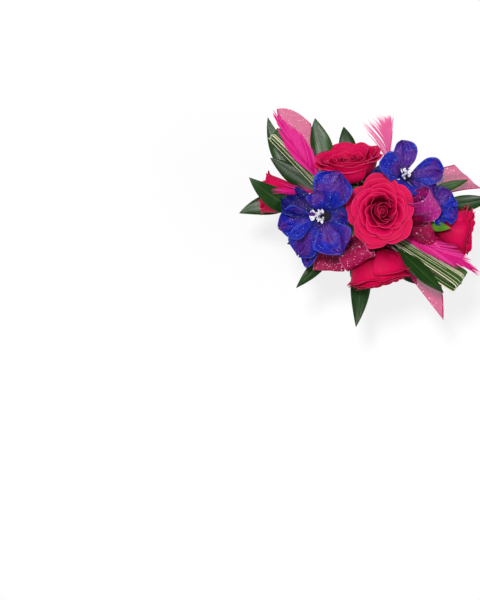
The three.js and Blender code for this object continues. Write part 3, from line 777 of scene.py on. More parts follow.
@dataclass(frozen=True)
class ElasticFinish(Finish):
    """Black woven elastic with ribs along the band; u runs across, v along in band widths."""

    name: str = "elastic"
    black: Colour = (0.010, 0.010, 0.012)
    thread: Colour = (0.055, 0.055, 0.062)
    ribs: float = 11
    picks: float = 26

    def _looks(self, s: Shader) -> Looks:
        """Overrides Finish._looks."""
        wave = (s.u * (FULL_TURN * self.ribs)).sine()
        ribs = wave * 0.5 + 0.5
        picks = (s.v * (FULL_TURN * self.picks) + wave * 1.5).sine() * 0.5 + 0.5
        fuzz = s.noise(s.place, scale=1600)
        return dict(
            Base_Color=s.coated(self.black, Coat(self.thread, ribs * 0.35 + picks * 0.3 + fuzz * 0.3)),
            Roughness=0.75 + fuzz * 0.15,
            Normal=s.bump(ribs + picks * 0.5, strength=0.6, distance=0.0004),
            Sheen_Weight=0.2,
        )


# ---------------------------------------------------------------- modelling


class Bench:
    """Modelling steps that the sub-assemblies share."""

    @staticmethod
    def only(piece: Piece) -> None:
        """Selects one object and makes it active.

        Args:
            piece: the object.
        """
        bpy.ops.object.select_all(action="DESELECT")
        piece.select_set(True)
        bpy.context.view_layer.objects.active = piece

    @staticmethod
    def shape(piece: Piece, points: Array, shade: Union[float, Array]) -> None:
        """Moves a mesh's vertices and writes their shade.

        Args:
            piece: the object.
            points: places in millimetres from the plate's top.
            shade: one value, or one for each vertex.
        """
        mesh = piece.data
        lifted = points + np.array((0, 0, PLATE_TOP))
        mesh.vertices.foreach_set("co", np.ascontiguousarray(lifted * MM, np.float32).ravel())
        tone = mesh.attributes.new("shade", "FLOAT", "POINT")
        tone.data.foreach_set("value", np.broadcast_to(np.asarray(shade, np.float32), len(points)).copy())
        mesh.update()

    @classmethod
    def grid(cls, name: str, faces: Faces, surface: Surface, shade: float = 0.5) -> Piece:
        """Models a blade: a plane grid whose vertices are drawn over a surface.

        Args:
            name: the object's name.
            faces: how many across and along.
            surface: gives points for u from -1 to 1 and v from 0 to 1.
            shade: tone of the blade.

        Returns:
            The object.
        """
        bpy.ops.object.select_all(action="DESELECT")
        bpy.ops.mesh.primitive_grid_add(x_subdivisions=faces[0], y_subdivisions=faces[1], size=2.0)
        piece = bpy.context.active_object
        piece.name = name
        flat = np.empty(len(piece.data.vertices) * 3, np.float32)
        piece.data.vertices.foreach_get("co", flat)
        flat = flat.reshape(-1, 3).astype(float)
        cls.shape(piece, surface(flat[:, 0], (flat[:, 1] + 1) / 2), shade)
        return piece

    @classmethod
    def tube(cls, name: str, points: Array, radii: Sequence[float], sides: int = 10, shade: float = 0.5) -> Piece:
        """Models a round stem, closed at both ends.

        Args:
            name: the object's name.
            points: its centre line.
            radii: its radius at each point.
            sides: faces round it.
            shade: its tone.

        Returns:
            The object.
        """
        points = np.vstack((points[:1], points, points[-1:]))
        radii = np.concatenate(((CLOSED,), radii, (CLOSED,)))
        tangent = unit(np.gradient(points[1:-1], axis=0))
        tangent = np.vstack((tangent[:1], tangent, tangent[-1:]))
        across = np.array((1.0, 0.0, 0.0)) if abs(tangent[0][0]) < 0.8 else np.array((0.0, 1.0, 0.0))
        first = unit(np.cross(tangent, across))
        second = np.cross(tangent, first)
        last = len(points) - 1

        def surface(u: Array, v: Array) -> Array:
            """Points at u and v, as Bench.grid asks."""
            step = np.rint(v * last).astype(int)
            angle = np.pi * u
            ring = first[step] * np.cos(angle)[:, None] + second[step] * np.sin(angle)[:, None]
            return points[step] + ring * radii[step][:, None]

        piece = cls.grid(name, (sides, last), surface, shade)
        bpy.ops.object.mode_set(mode="EDIT")
        bpy.ops.mesh.select_all(action="SELECT")
        bpy.ops.mesh.remove_doubles(threshold=MERGED)
        bpy.ops.mesh.normals_make_consistent(inside=False)
        bpy.ops.object.mode_set(mode="OBJECT")
        return piece

    @classmethod
    def strips(cls, name: str, paths: Array, widths: Array, normals: Array, shades: Array) -> Piece:
        """Models many narrow strips as one mesh.

        Args:
            name: the object's name.
            paths: strips x points x 3.
            widths: a strip's width at each of its points.
            normals: strips x 3, out of each strip's face.
            shades: one tone for each strip.

        Returns:
            The object.
        """
        count, steps, _ = paths.shape
        half = unit(np.cross(np.gradient(paths, axis=1), normals[:, None, :])) * widths[None, :, None] / 2
        points = np.stack((paths - half, paths + half), axis=2).reshape(-1, 3)
        first = (np.arange(count)[:, None] * steps + np.arange(steps - 1)) * 2
        faces = np.stack((first, first + 1, first + 3, first + 2), axis=-1).reshape(-1, 4)
        mesh = bpy.data.meshes.new(name)
        mesh.from_pydata(np.zeros((len(points), 3)).tolist(), [], faces.tolist())
        piece = bpy.data.objects.new(name, mesh)
        bpy.context.collection.objects.link(piece)
        cls.shape(piece, points, np.repeat(shades, steps * 2))
        along = np.broadcast_to(np.linspace(0, 1, steps)[None, :, None], (count, steps, 2)).ravel()
        over = np.broadcast_to(np.array((0.0, 1.0)), (count, steps, 2)).ravel()
        loops = np.stack((over, along), axis=-1)[faces.ravel()]
        mesh.uv_layers.new(name="UVMap").data.foreach_set("uv", loops.astype(np.float32).ravel())
        return piece

    @classmethod
    def join(cls, parts: Sequence[Piece], name: str) -> Piece:
        """Joins objects into the first of them.

        Args:
            parts: the objects.
            name: name of the whole.

        Returns:
            The first object.
        """
        cls.only(parts[0])
        for part in parts[1:]:
            part.select_set(True)
        bpy.ops.object.join()
        parts[0].name = name
        parts[0].data.name = name
        return parts[0]

    @classmethod
    def apply(cls, piece: Piece, kind: str, **settings: object) -> None:
        """Adds a modifier and applies it.

        Args:
            piece: the object.
            kind: the modifier's type.
            **settings: its properties.
        """
        cls.only(piece)
        bpy.ops.object.modifier_add(type=kind)
        modifier = piece.modifiers[-1]
        for key, value in settings.items():
            setattr(modifier, key, value)
        bpy.ops.object.modifier_apply(modifier=modifier.name)

    @classmethod
    def solidify(cls, piece: Piece, thickness: float) -> None:
        """Gives blades a thickness in millimetres."""
        cls.apply(piece, "SOLIDIFY", thickness=thickness * MM, offset=0.0)

    @classmethod
    def thicken(cls, piece: Piece, thickness: float) -> None:
        """Gives blades a thickness in millimetres and rounds them."""
        cls.solidify(piece, thickness)
        cls.apply(piece, "SUBSURF", levels=1, render_levels=1)

    @staticmethod
    def map_uv(piece: Piece, change: Callable[[Array], Array]) -> None:
        """Changes the rows of u and v.

        Args:
            piece: the object.
            change: takes the old rows and gives the new ones.
        """
        layer = piece.data.uv_layers.active.data
        pairs = np.empty(len(layer) * 2, np.float32)
        layer.foreach_get("uv", pairs)
        layer.foreach_set("uv", np.ascontiguousarray(change(pairs.reshape(-1, 2)), np.float32).ravel())

    @classmethod
    def stretch_uv(cls, piece: Piece, along: float) -> None:
        """Scales v, so that a pattern keeps its size along a long piece."""
        cls.map_uv(piece, lambda pairs: pairs * np.array((1.0, along)))

    @classmethod
    def dress(cls, piece: Piece, finish: Material, slot: Slot, *nodes: str) -> None:
        """Puts a piece into the object.

        Args:
            piece: the finished mesh.
            finish: its material.
            slot: not used.
            *nodes: the CAD nodes that it stands for.
        """
        cls.only(piece)
        bpy.ops.object.shade_smooth()
        piece.data.materials.clear()
        piece.data.materials.append(finish)
        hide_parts(*nodes)
        LOG.info("%s: %d faces", piece.name, len(piece.data.polygons))

    @classmethod
    def mount(cls, piece: Piece, finish: Material, slot: Slot, node: str) -> None:
        """Dresses a piece in place of one CAD node and lets it ride on the spray."""
        cls.dress(piece, finish, slot, node)
        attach(piece, Body.SPRAY.value)


# ---------------------------------------------------------------- roses


@dataclass(frozen=True)
class PetalRing:
    """A ring of rose petals; rim and rise are shares of the bloom's radius and depth."""

    count: int
    rim: float
    rise: float
    belly: float
    curl: float
    wrap: float
    roll: float
    flat: float = 0.0


class BloomKind(Enum):
    """How far a rose has opened, as its rings of petals, outermost first."""

    OPEN = (
        PetalRing(5, 1.00, 0.81, 0.90, 0.15, 47, 0.9, 0.85),
        PetalRing(5, 0.88, 0.855, 0.90, 0.13, 48, 0.8, 0.75),
        PetalRing(5, 0.76, 0.898, 0.92, 0.11, 49, 0.7, 0.6),
        PetalRing(4, 0.63, 0.935, 0.94, 0.09, 61, 0.6, 0.4),
        PetalRing(4, 0.51, 0.95, 0.95, 0.06, 63, 0.5, 0.2),
        PetalRing(3, 0.40, 0.91, 0.96, 0.03, 78, 0.3),
        PetalRing(3, 0.26, 0.86, 0.96, 0.01, 84, 0.1),
    )
    BOWL = (
        PetalRing(5, 0.97, 0.95, 1.10, 0.14, 48, 1.4),
        PetalRing(4, 0.86, 0.99, 1.05, 0.09, 60, 1.4),
        PetalRing(4, 0.68, 0.93, 0.95, 0.05, 61, 0.8),
        PetalRing(3, 0.49, 0.90, 0.95, 0.03, 78, 0.5),
        PetalRing(3, 0.32, 0.88, 0.96, 0.02, 82, 0.2),
    )
    CUPPED = (
        PetalRing(5, 1.00, 0.86, 0.98, 0.16, 46, 2.2),
        PetalRing(5, 0.93, 0.925, 0.96, 0.11, 48, 1.8),
        PetalRing(5, 0.80, 0.98, 0.95, 0.06, 49, 1.1),
        PetalRing(4, 0.62, 0.98, 0.95, 0.03, 61, 0.6),
        PetalRing(4, 0.45, 0.96, 0.96, 0.02, 63, 0.2),
        PetalRing(3, 0.30, 0.93, 0.96, 0.01, 82, 0.1),
    )
    BUD = (
        PetalRing(4, 1.00, 0.93, 0.95, 0.10, 58, 1.2),
        PetalRing(4, 0.84, 0.96, 0.95, 0.07, 60, 0.8),
        PetalRing(3, 0.67, 0.98, 0.95, 0.04, 78, 0.4),
        PetalRing(3, 0.49, 0.97, 0.96, 0.02, 80, 0.2),
        PetalRing(3, 0.31, 0.94, 0.96, 0.02, 84, 0.0),
    )


@dataclass(frozen=True)
class Rose:
    """A spray rose on its hip: rings of lapped petals round a furled heart."""

    name: str
    opening: Triple
    azimuth: float
    elevation: float
    radius: float
    depth: float
    spin: float
    kind: BloomKind
    seat: Pair
    pressed: float = 0.0
    pressed_at: float = 40.0
    oval: float = 1.0
    ruffle: float = 1.0
    hip_radius: float = 3.8
    hip_height: float = 5.0
    heel: float = 5.5
    heart_turns: float = 2.1
    heart_start: float = 70
    sepal_count: int = 5
    sepal_start: float = 36
    sepal_length: float = 7.0
    sepal_width: float = 3.2
    sepal_thickness: float = 0.45
    petal_thickness: float = 0.27
    stem_radius: float = 1.5
    stem_steps: int = 12

    def _base(self) -> Array:
        """The foot of the hip."""
        return np.array(self.opening) - direction(self.azimuth, self.elevation) * self.depth

    def _place(self, points: Array) -> Array:
        """Takes points from the flower's own axes to their place."""
        return points @ facing(self.azimuth, self.elevation).T + self._base()

    def _petal(self, layer: int, index: int, luck: random.Random) -> Piece:
        """Models one petal.

        Args:
            layer: its ring, counted from the outermost.
            index: its place in the ring.
            luck: what makes it differ from the others.

        Returns:
            The petal.
        """
        rings = self.kind.value
        ring = rings[layer]
        foot = self.hip_height + self.heel * (layer + 0.6) / len(rings)
        rim = ring.rim * self.radius * luck.uniform(0.93, 1.03)
        tall = ring.rise * self.depth * (1 + self.ruffle * luck.uniform(-0.035, 0.02)) - foot
        turn = math.radians(self.spin + layer * GOLDEN_ANGLE) + index * FULL_TURN / ring.count
        turn += luck.uniform(-0.12, 0.12)
        wrap = math.radians(ring.wrap * luck.uniform(0.97, 1.06))
        start = min(2.6 + 2.4 * layer / len(rings), 0.6 * rim)
        flat, cup = ring.flat, 1 - ring.flat
        shoulder = cup * (1 - 1.6 * ring.curl) + 0.72 * flat
        profile = (
            (start, foot),
            (rim * (cup * ring.belly + 0.42 * flat), foot + tall * (0.15 + 0.55 * flat)),
            (rim * shoulder, foot + tall * (cup * (0.85 + ring.curl) + 1.04 * flat)),
            (rim, foot + tall),
        )
        phase, beat = luck.uniform(*ANY_PHASE), luck.uniform(1.6, 2.6)
        wave = self.ruffle * luck.uniform(0.35, 0.9)
        tuck = luck.uniform(0.10, 0.18) + 0.10 * (1 - ring.rim)
        roll = ring.roll * luck.uniform(0.6, 1.25)
        dent, nick = luck.uniform(0.0, 0.05), luck.uniform(0.008, 0.022)
        lean = luck.uniform(-0.05, 0.05)
        drift = random.Random(f"{self.name} {layer}")
        shift = 0.17 * self.radius * (1 - ring.rim) * np.array((drift.uniform(-1, 1), drift.uniform(-1, 1)))

        def surface(u: Array, v: Array) -> Array:
            """Points at u and v, as Bench.grid asks."""
            # The rim is round, dented at its middle and finely nicked.
            t = v * (1 - 0.16 * u**4 - dent * np.exp(-((u - lean) / 0.22) ** 2) + nick * np.sin(11 * u + 3 * phase))
            reach, height = bezier(profile, t)
            angle = turn + u * wrap * (0.3 + 0.7 * swelling(1.3 * v))
            # One side laps the next petal, the lip rolls out and the edge waves.
            lap = 0.9 * u * np.minimum(2 * v, 1)
            lip = roll * np.clip((v - 0.76) / 0.24, 0, 1) ** 2
            ripple = wave * np.sin(beat * np.pi * u + phase) * v**3
            reach = reach * (1 - tuck * u * u * eased(v, 0.15, 0.85))
            reach = reach + lap + lip * (1 - 0.8 * u * u) + 0.6 * ripple
            height = height - 0.6 * lap - 0.6 * lip + 0.5 * ripple
            # A neighbour presses the bloom in on one side, and the inner rings stand off its middle.
            press = self.pressed * np.exp(2.5 * (np.cos(angle - math.radians(self.pressed_at)) - 1))
            reach = reach * (1 - press * eased(v, 0.1, 0.7))
            slip = eased(v, 0.2, 1.0)
            x, y = reach * np.cos(angle) * self.oval + shift[0] * slip, reach * np.sin(angle) + shift[1] * slip
            return self._place(np.stack((x, y, height), axis=-1))

        # Rings nearer the middle get lower shades, which the finish paints darker: painted shade deep in the bloom.
        return Bench.grid("petal", PETAL_FACES, surface, luck.random() - max(0.55 - ring.rim, 0) * 2.2)

    def _heart(self) -> Piece:
        """Models the furled middle: one sheet wound in to the eye, with its v up the sheet.

        Returns:
            The sheet.
        """
        inner = self.kind.value[-1]
        foot = 0.45 * self.depth
        tall = (inner.rise - 0.02) * self.depth - foot

        def surface(u: Array, v: Array) -> Array:
            """Points at u and v, as Bench.grid asks."""
            angle = math.radians(self.spin + self.heart_start) + FULL_TURN * self.heart_turns * v
            rise = (1 + u) / 2
            wound = self.radius * inner.rim * (0.82 - 0.72 * v)
            reach = wound * (0.55 + 0.45 * swelling(1.2 * rise))
            height = foot + tall * rise * (1 - 0.05 * np.cos(3 * angle + 1) - 0.05 * v)
            return self._place(spun(reach, 0.0, height, angle))

        # Its low shade is painted darker: painted shade in the furled middle.
        piece = Bench.grid("heart", HEART_FACES, surface, shade=-0.45)
        Bench.map_uv(piece, lambda pairs: pairs[:, ::-1])
        return piece

    def _bloom(self, finish: Material) -> None:
        """Models all the petals over a pith, which is painted dark red as shade deep in the heart.

        Args:
            finish: their material.
        """
        luck = random.Random(self.name)
        parts = []
        for layer, ring in enumerate(self.kind.value):
            parts += [self._petal(layer, index, luck) for index in range(ring.count)]
        petals = Bench.join([*parts, self._heart()], "petals")
        Bench.thicken(petals, self.petal_thickness)
        inner = self.kind.value[-1]
        line = np.outer((inner.rise - np.array((0.4, 0.25, 0.18, 0.15))) * self.depth, UP)
        radii = inner.rim * self.radius * np.array((0.75, 0.7, 0.5, 0.2))
        # The pith's low shade paints it dark red: painted shade that closes the heart's eye.
        pith = Bench.tube("pith", self._place(line), radii, sides=12, shade=-0.9)
        piece = Bench.join([petals, pith], f"petals_{self.name}")
        Bench.mount(piece, finish, Slot.ROSE_PETAL, f"{self.name}_bloom")

    def _sepal(self, index: int, luck: random.Random) -> Piece:
        """Models one drooping sepal of the hip.

        Args:
            index: its place round the hip.
            luck: what makes it differ from the others.

        Returns:
            The sepal.
        """
        turn = math.radians(self.spin + self.sepal_start) + index * FULL_TURN / self.sepal_count
        droop = luck.uniform(0.35, 0.6)

        def surface(u: Array, v: Array) -> Array:
            """Points at u and v, as Bench.grid asks."""
            half = self.sepal_width / 2 * (1 - 0.94 * v) * (0.8 + 0.5 * np.sin(np.pi * np.minimum(v * 1.2, 1)))
            reach = self.hip_radius * 0.8 + self.sepal_length * (v - 0.35 * v * v)
            height = 4.2 - self.sepal_length * droop * v * v + 0.3 * u * u * half
            return self._place(spun(reach, u * half, height, turn))

        return Bench.grid("sepal", CALYX_FACES, surface, luck.random())

    def _calyx(self, finish: Material) -> None:
        """Models the hip, its sepals and the stem.

        Args:
            finish: their material.
        """
        line = np.outer((-0.4, 0.2, 1.2, 2.8, 4.2, 5.0, 5.3), UP)
        radii = self.hip_radius * np.array((0.42, 0.55, 0.8, 1.0, 0.97, 0.85, 0.7))
        hip = Bench.tube("hip", self._place(line), radii, sides=18)
        luck = random.Random(f"{self.name} calyx")
        sepals = Bench.join([self._sepal(index, luck) for index in range(self.sepal_count)], "sepals")
        Bench.thicken(sepals, self.sepal_thickness)
        away = direction(self.azimuth, self.elevation)
        start, end = seat_point(self.seat, SEAT_DEPTH), self._base() + away
        behind = self._base() - away * 0.25 * np.linalg.norm(end - start)
        run = Bow(start, 0.5 * behind + 0.25 * (start + end), end).at(np.linspace(0, 1, self.stem_steps))
        stem = Bench.tube("stem", run, [self.stem_radius] * self.stem_steps, sides=12)
        piece = Bench.join([hip, sepals, stem], f"calyx_{self.name}")
        Bench.mount(piece, finish, Slot.ROSE_GREEN, f"{self.name}_calyx")

    def build(self, petal: Material, green: Material) -> None:
        """Builds the rose on the spray."""
        self._bloom(petal)
        self._calyx(green)


# ---------------------------------------------------------------- delphinium


@dataclass(frozen=True)
class Sepal:
    """One sepal of a delphinium floret."""

    azimuth: float
    length: float
    width: float
    lift: float
    # A low tone paints the sepal darker, as shade where it lies under others; a high one turns it more purple.
    tone: float = 0.5


@dataclass(frozen=True)
class Delphinium:
    """A delphinium floret: a whorl of sepals with a spur behind, on a pedicel, and a white bee in its middle."""

    name: str
    centre: Triple
    azimuth: float
    elevation: float
    seat: Pair
    has_bee: bool
    sepals: tuple[Sepal, ...]
    bee_length: float = 5.0
    bee_width: float = 4.0
    bee_side: float = 30.0
    throat: float = 1.1
    bee_count: int = 11
    bee_gap: float = 0.42
    bee_thickness: float = 0.4
    hood_turn: float = -8
    disc_radius: float = 2.6
    level_step: float = 0.55
    bow: float = 1.2
    sepal_thickness: float = 0.42
    spur_length: float = 9.0
    spur_radius: float = 1.5
    spur_dip: float = 50
    spur_steps: int = 7
    pedicel_radius: float = 1.1
    pedicel_steps: int = 12

    def _place(self, points: Array) -> Array:
        """Takes points from the flower's own axes to their place."""
        return points @ facing(self.azimuth, self.elevation).T + np.array(self.centre)

    def _sepal(self, sepal: Sepal, level: float, luck: random.Random) -> Piece:
        """Models one sepal, bowed, crimped along its veins and wavy at its edge.

        Args:
            sepal: its place and size.
            level: height of its foot on the disc.
            luck: what makes it differ from the others.

        Returns:
            The sepal.
        """
        lift = math.radians(sepal.lift)
        phase, fold = luck.uniform(*ANY_PHASE), luck.uniform(0.7, 1.2)
        twist, notch = luck.uniform(-0.22, 0.22), luck.uniform(0.0, 0.08)
        cup, nod = luck.uniform(0.22, 0.6), luck.uniform(-0.6, 2.6)

        def surface(u: Array, v: Array) -> Array:
            """Points at u and v, as Bench.grid asks."""
            along = 1 - (1 - v) ** 1.6
            swell = np.sin(np.pi * along)
            # The outline: a blade on a narrow foot, uneven at its edge and notched at its tip.
            blade = np.sin(np.pi * np.clip(along, 0, 1) ** 1.4) ** 0.75
            half = np.maximum(sepal.width / 2 * blade, np.maximum(0.9 * (1 - along), 0.03 * sepal.width))
            half = half * (1 + 0.06 * np.sin(9 * along + phase) + 0.04 * np.sin(17 * along + 2 * phase))
            run = sepal.length * along * (1 - notch * np.exp(-((u / 0.3) ** 2)))
            run = run * (1 + 0.03 * np.sin(9 * u + phase) * eased(along, 0.5, 1.0))
            # Its relief: folds, crimps along the veins, a keel, a ruffled edge and a creased tip.
            relief = fold * np.sin(2.4 * np.pi * u + phase) * along**1.5 * half / 5
            relief = relief + 0.2 * np.cos(7 * np.pi * u + phase) * swell
            relief = relief - 0.7 * np.exp(-((u / 0.16) ** 2)) * along
            relief = relief + 0.35 * np.sin(11 * along + 3 * u + phase) * u * along
            relief = relief + 0.9 * np.sin(11 * along + phase) * np.abs(u) ** 3 * swell
            relief = relief + 0.4 * np.sin(5 * np.pi * u + 2 * phase) * eased(along, 0.55, 1.0)
            bow = cup * half * u * u + self.bow * swell + twist * u * half - nod * along**4
            reach = 0.6 * self.disc_radius + run * np.cos(lift)
            height = level + run * np.sin(lift) + bow + relief
            return self._place(spun(reach, u * half, height, math.radians(sepal.azimuth)))

        return Bench.grid("sepal", SEPAL_FACES, surface, sepal.tone + luck.uniform(-0.12, 0.12))

    def _whorl(self, finish: Material) -> None:
        """Models the sepals, the spur and the pedicel.

        Args:
            finish: their material.
        """
        luck = random.Random(self.name)
        levels = (self.level_step, -self.level_step)
        whorl = Bench.join([self._sepal(sepal, levels[k % 2], luck) for k, sepal in enumerate(self.sepals)], "whorl")
        Bench.thicken(whorl, self.sepal_thickness)
        disc = np.outer((-1.3, -1.1, 0.0, 1.0, 1.3), UP)
        disc_radii = self.disc_radius * np.array((0.6, 0.85, 1.0, 0.85, 0.6))
        back = direction(self.sepals[0].azimuth, -self.spur_dip)
        spur = back * np.linspace(0, self.spur_length, self.spur_steps)[:, None]
        spur_radii = np.linspace(self.spur_radius, 0.4 * self.spur_radius, self.spur_steps)
        pedicel = np.linspace(seat_point(self.seat, SEAT_DEPTH), self.centre, self.pedicel_steps)
        pedicel_radii = [self.pedicel_radius] * self.pedicel_steps
        parts = [
            whorl,
            Bench.tube("disc", self._place(disc), disc_radii, sides=16, shade=0.3),
            Bench.tube("spur", self._place(spur), spur_radii, shade=0.4),
            Bench.tube("pedicel", pedicel, pedicel_radii, shade=STALK_SHADE),
        ]
        piece = Bench.join(parts, f"sepals_{self.name}")
        Bench.mount(piece, finish, Slot.DELPHINIUM, f"{self.name}_sepals")

    def _bee_petal(self, index: int, luck: random.Random) -> Piece:
        """Models one of the small inner petals.

        Args:
            index: its place in the crowd.
            luck: what makes it differ from the others.

        Returns:
            The petal.
        """
        turn = math.radians(self.bee_side) + (index - self.bee_count // 2) * self.bee_gap + luck.uniform(-0.2, 0.2)
        tall, lean = luck.uniform(0.35, 0.85), luck.uniform(0.25, 0.62)
        wide = self.bee_width * luck.uniform(0.16, 0.34)
        phase, root = luck.uniform(*ANY_PHASE), luck.uniform(0.5, 1.3)

        def surface(u: Array, v: Array) -> Array:
            """Points at u and v, as Bench.grid asks."""
            half = wide * (0.3 + 0.7 * np.sin(0.85 * np.pi * v))
            reach = root + self.bee_length * (lean * v + 0.14 * v * v * np.cos(2 * u + phase))
            height = 2.2 + self.bee_length * tall * v * (1 - 0.2 * u * u - 0.25 * v)
            height = height + 0.3 * np.sin(5 * u + phase) * v
            return self._place(spun(reach, u * half, height, turn))

        return Bench.grid("bee", BEE_FACES, surface, luck.random())

    def _hood(self) -> Piece:
        """Models the larger striped petal beside the small ones.

        Returns:
            The petal.
        """
        turn = math.radians(self.bee_side + self.hood_turn)

        def surface(u: Array, v: Array) -> Array:
            """Points at u and v, as Bench.grid asks."""
            half = 0.85 * self.bee_width * (0.35 + 0.65 * np.sin(0.8 * np.pi * v))
            reach = 0.8 * self.bee_length * (0.85 + 0.95 * v - 0.3 * u * u * v)
            height = 1.8 + 0.75 * self.bee_length * v * (1 - 0.45 * v) + 0.25 * half * u * u
            return self._place(spun(reach, u * half, height, turn))

        return Bench.grid("hood", HOOD_FACES, surface, HOOD_SHADE)

    def _bee(self, finish: Material) -> None:
        """Models the inner petals, crowded to one side of a throat that is painted dark as shade.

        Args:
            finish: their material.
        """
        luck = random.Random(f"{self.name} bee")
        parts = [self._bee_petal(index, luck) for index in range(self.bee_count)]
        petals = Bench.join([*parts, self._hood()], "bee")
        Bench.thicken(petals, self.bee_thickness)
        # A tube in the middle, coloured near-black by its stalk shade: painted shade in the throat.
        line = np.outer((1.66, 1.8, 1.95, 2.0), UP) - 0.4 * self.bee_length * direction(self.bee_side, 0)
        radii = self.disc_radius * self.throat * np.array((1.1, 1.1, 1.0, 0.7))
        throat = Bench.tube("throat", self._place(line), radii, sides=14, shade=STALK_SHADE)
        piece = Bench.join([petals, throat], f"bee_{self.name}")
        Bench.mount(piece, finish, Slot.BEE, f"{self.name}_bee")

    def build(self, blue: Material, white: Material) -> None:
        """Builds the floret on the spray.

        Args:
            blue: material of the whorl.
            white: material of the bee.
        """
        self._whorl(blue)
        if self.has_bee:
            self._bee(white)


# ---------------------------------------------------------------- ribbon


def gather(v: Array) -> Array:
    """Width of a ribbon that is pinched where it is bound, at shares v of its run."""
    return RIBBON_PINCH + (RIBBON_WIDTH - RIBBON_PINCH) * swelling(2.2 * v)


def pleat(u: Array, width: Array) -> Array:
    """Gives the height of the pleats that take up a ribbon's width where it is pinched.

    Args:
        u: place across, from -1 to 1.
        width: width that the ribbon has there.

    Returns:
        Heights off the ribbon's middle plane.
    """
    slack = np.maximum((RIBBON_WIDTH / np.minimum(width, RIBBON_WIDTH)) ** 2 - 1, 0)
    depth = 0.8 * width / (FULL_TURN * RIBBON_PLEATS) * np.sqrt(2 * slack)
    return depth * np.sin(RIBBON_PLEATS * np.pi * u)


@dataclass(frozen=True)
class Ribbon:
    """A run of organza ribbon that is bound at the core."""

    name: str
    seat: Pair
    via: Triple

    def _line(self, end: Triple) -> Bow:
        """The line from the core to an end."""
        return Bow(seat_point(self.seat, -TAPE_CLEAR), np.array(self.via), np.array(end))

    def _phase(self) -> float:
        """Where the ribbon's waves start."""
        return random.Random(self.name).uniform(*ANY_PHASE)

    def _lay(self, surface: Surface, faces: Faces, length: float, finish: Material) -> None:
        """Models the ribbon and puts it on the spray.

        Args:
            surface: its shape.
            faces: how many across and along.
            length: its flat length.
            finish: its material.
        """
        piece = Bench.grid(f"organza_{self.name}", faces, surface)
        Bench.stretch_uv(piece, length / RIBBON_WIDTH)
        Bench.mount(piece, finish, Slot.ORGANZA, f"ribbon_{self.name}")


@dataclass(frozen=True)
class RibbonTail(Ribbon):
    """A cut end of organza ribbon."""

    end: Triple
    cut: float
    roll: float
    rounded: float = 0.0
    ripple: float = 1.2

    def build(self, finish: Material) -> None:
        """Builds the tail on the spray.

        Args:
            finish: its material.
        """
        line, phase = self._line(self.end), self._phase()

        def surface(u: Array, v: Array) -> Array:
            """Points at u and v, as Bench.grid asks."""
            tangent, side, normal = line.axes(v, self.roll * v)
            width = gather(v)
            lift = self.ripple * np.sin(FULL_TURN * v) * u + pleat(u, width)
            lift = lift + 0.45 * np.sin(2.2 * np.pi * u + phase) * eased(v, 0.2, 0.9)
            slant = (self.rounded * (1 - u * u) - self.cut * u) * v**3
            return line.at(v) + side * (u * width / 2)[:, None] + tangent * slant[:, None] + normal * lift[:, None]

        self._lay(surface, TAIL_FACES, line.length(), finish)


@dataclass(frozen=True)
class RibbonLoop(Ribbon):
    """A loop of organza ribbon, bound by both ends."""

    curl: Triple
    across: Triple
    bulge: float
    samples: int = 300

    def build(self, finish: Material) -> None:
        """Builds the loop on the spray.

        Args:
            finish: its material.
        """
        line, phase = self._line(self.curl), self._phase()
        across = unit(np.array(self.across, float))

        def surface(u: Array, v: Array) -> Array:
            """Points at u and v, as Bench.grid asks."""
            angle = np.pi * (0.1 + 1.8 * v)
            reach = (1 - np.cos(angle)) / 2
            width = gather(np.minimum(v, 1 - v) * 1.6)
            away = unit(np.cross(across, line.tangent(reach)))
            height = 0.77 * self.bulge * np.sin(angle) * np.sin(angle / 2) ** 3 + 0.6 * pleat(u, width)
            height = height + 0.3 * np.sin(FULL_TURN * u + phase + 5 * v) * width / RIBBON_WIDTH
            return line.at(reach) + away * height[:, None] + across * (u * width / 2)[:, None]

        shares = np.linspace(0, 1, self.samples)
        length = float(run_lengths(surface(0 * shares, shares))[-1])
        self._lay(surface, LOOP_FACES, length, finish)


# ---------------------------------------------------------------- feathers, grass and leaves


@dataclass(frozen=True)
class Vane:
    """The barbs on one side of a quill: their length and their angle off it, at its foot and at its tip."""

    count: int
    foot_length: float
    tip_length: float
    foot_angle: float
    tip_angle: float
    spread: float = 3.0
    bend: float = 1.2


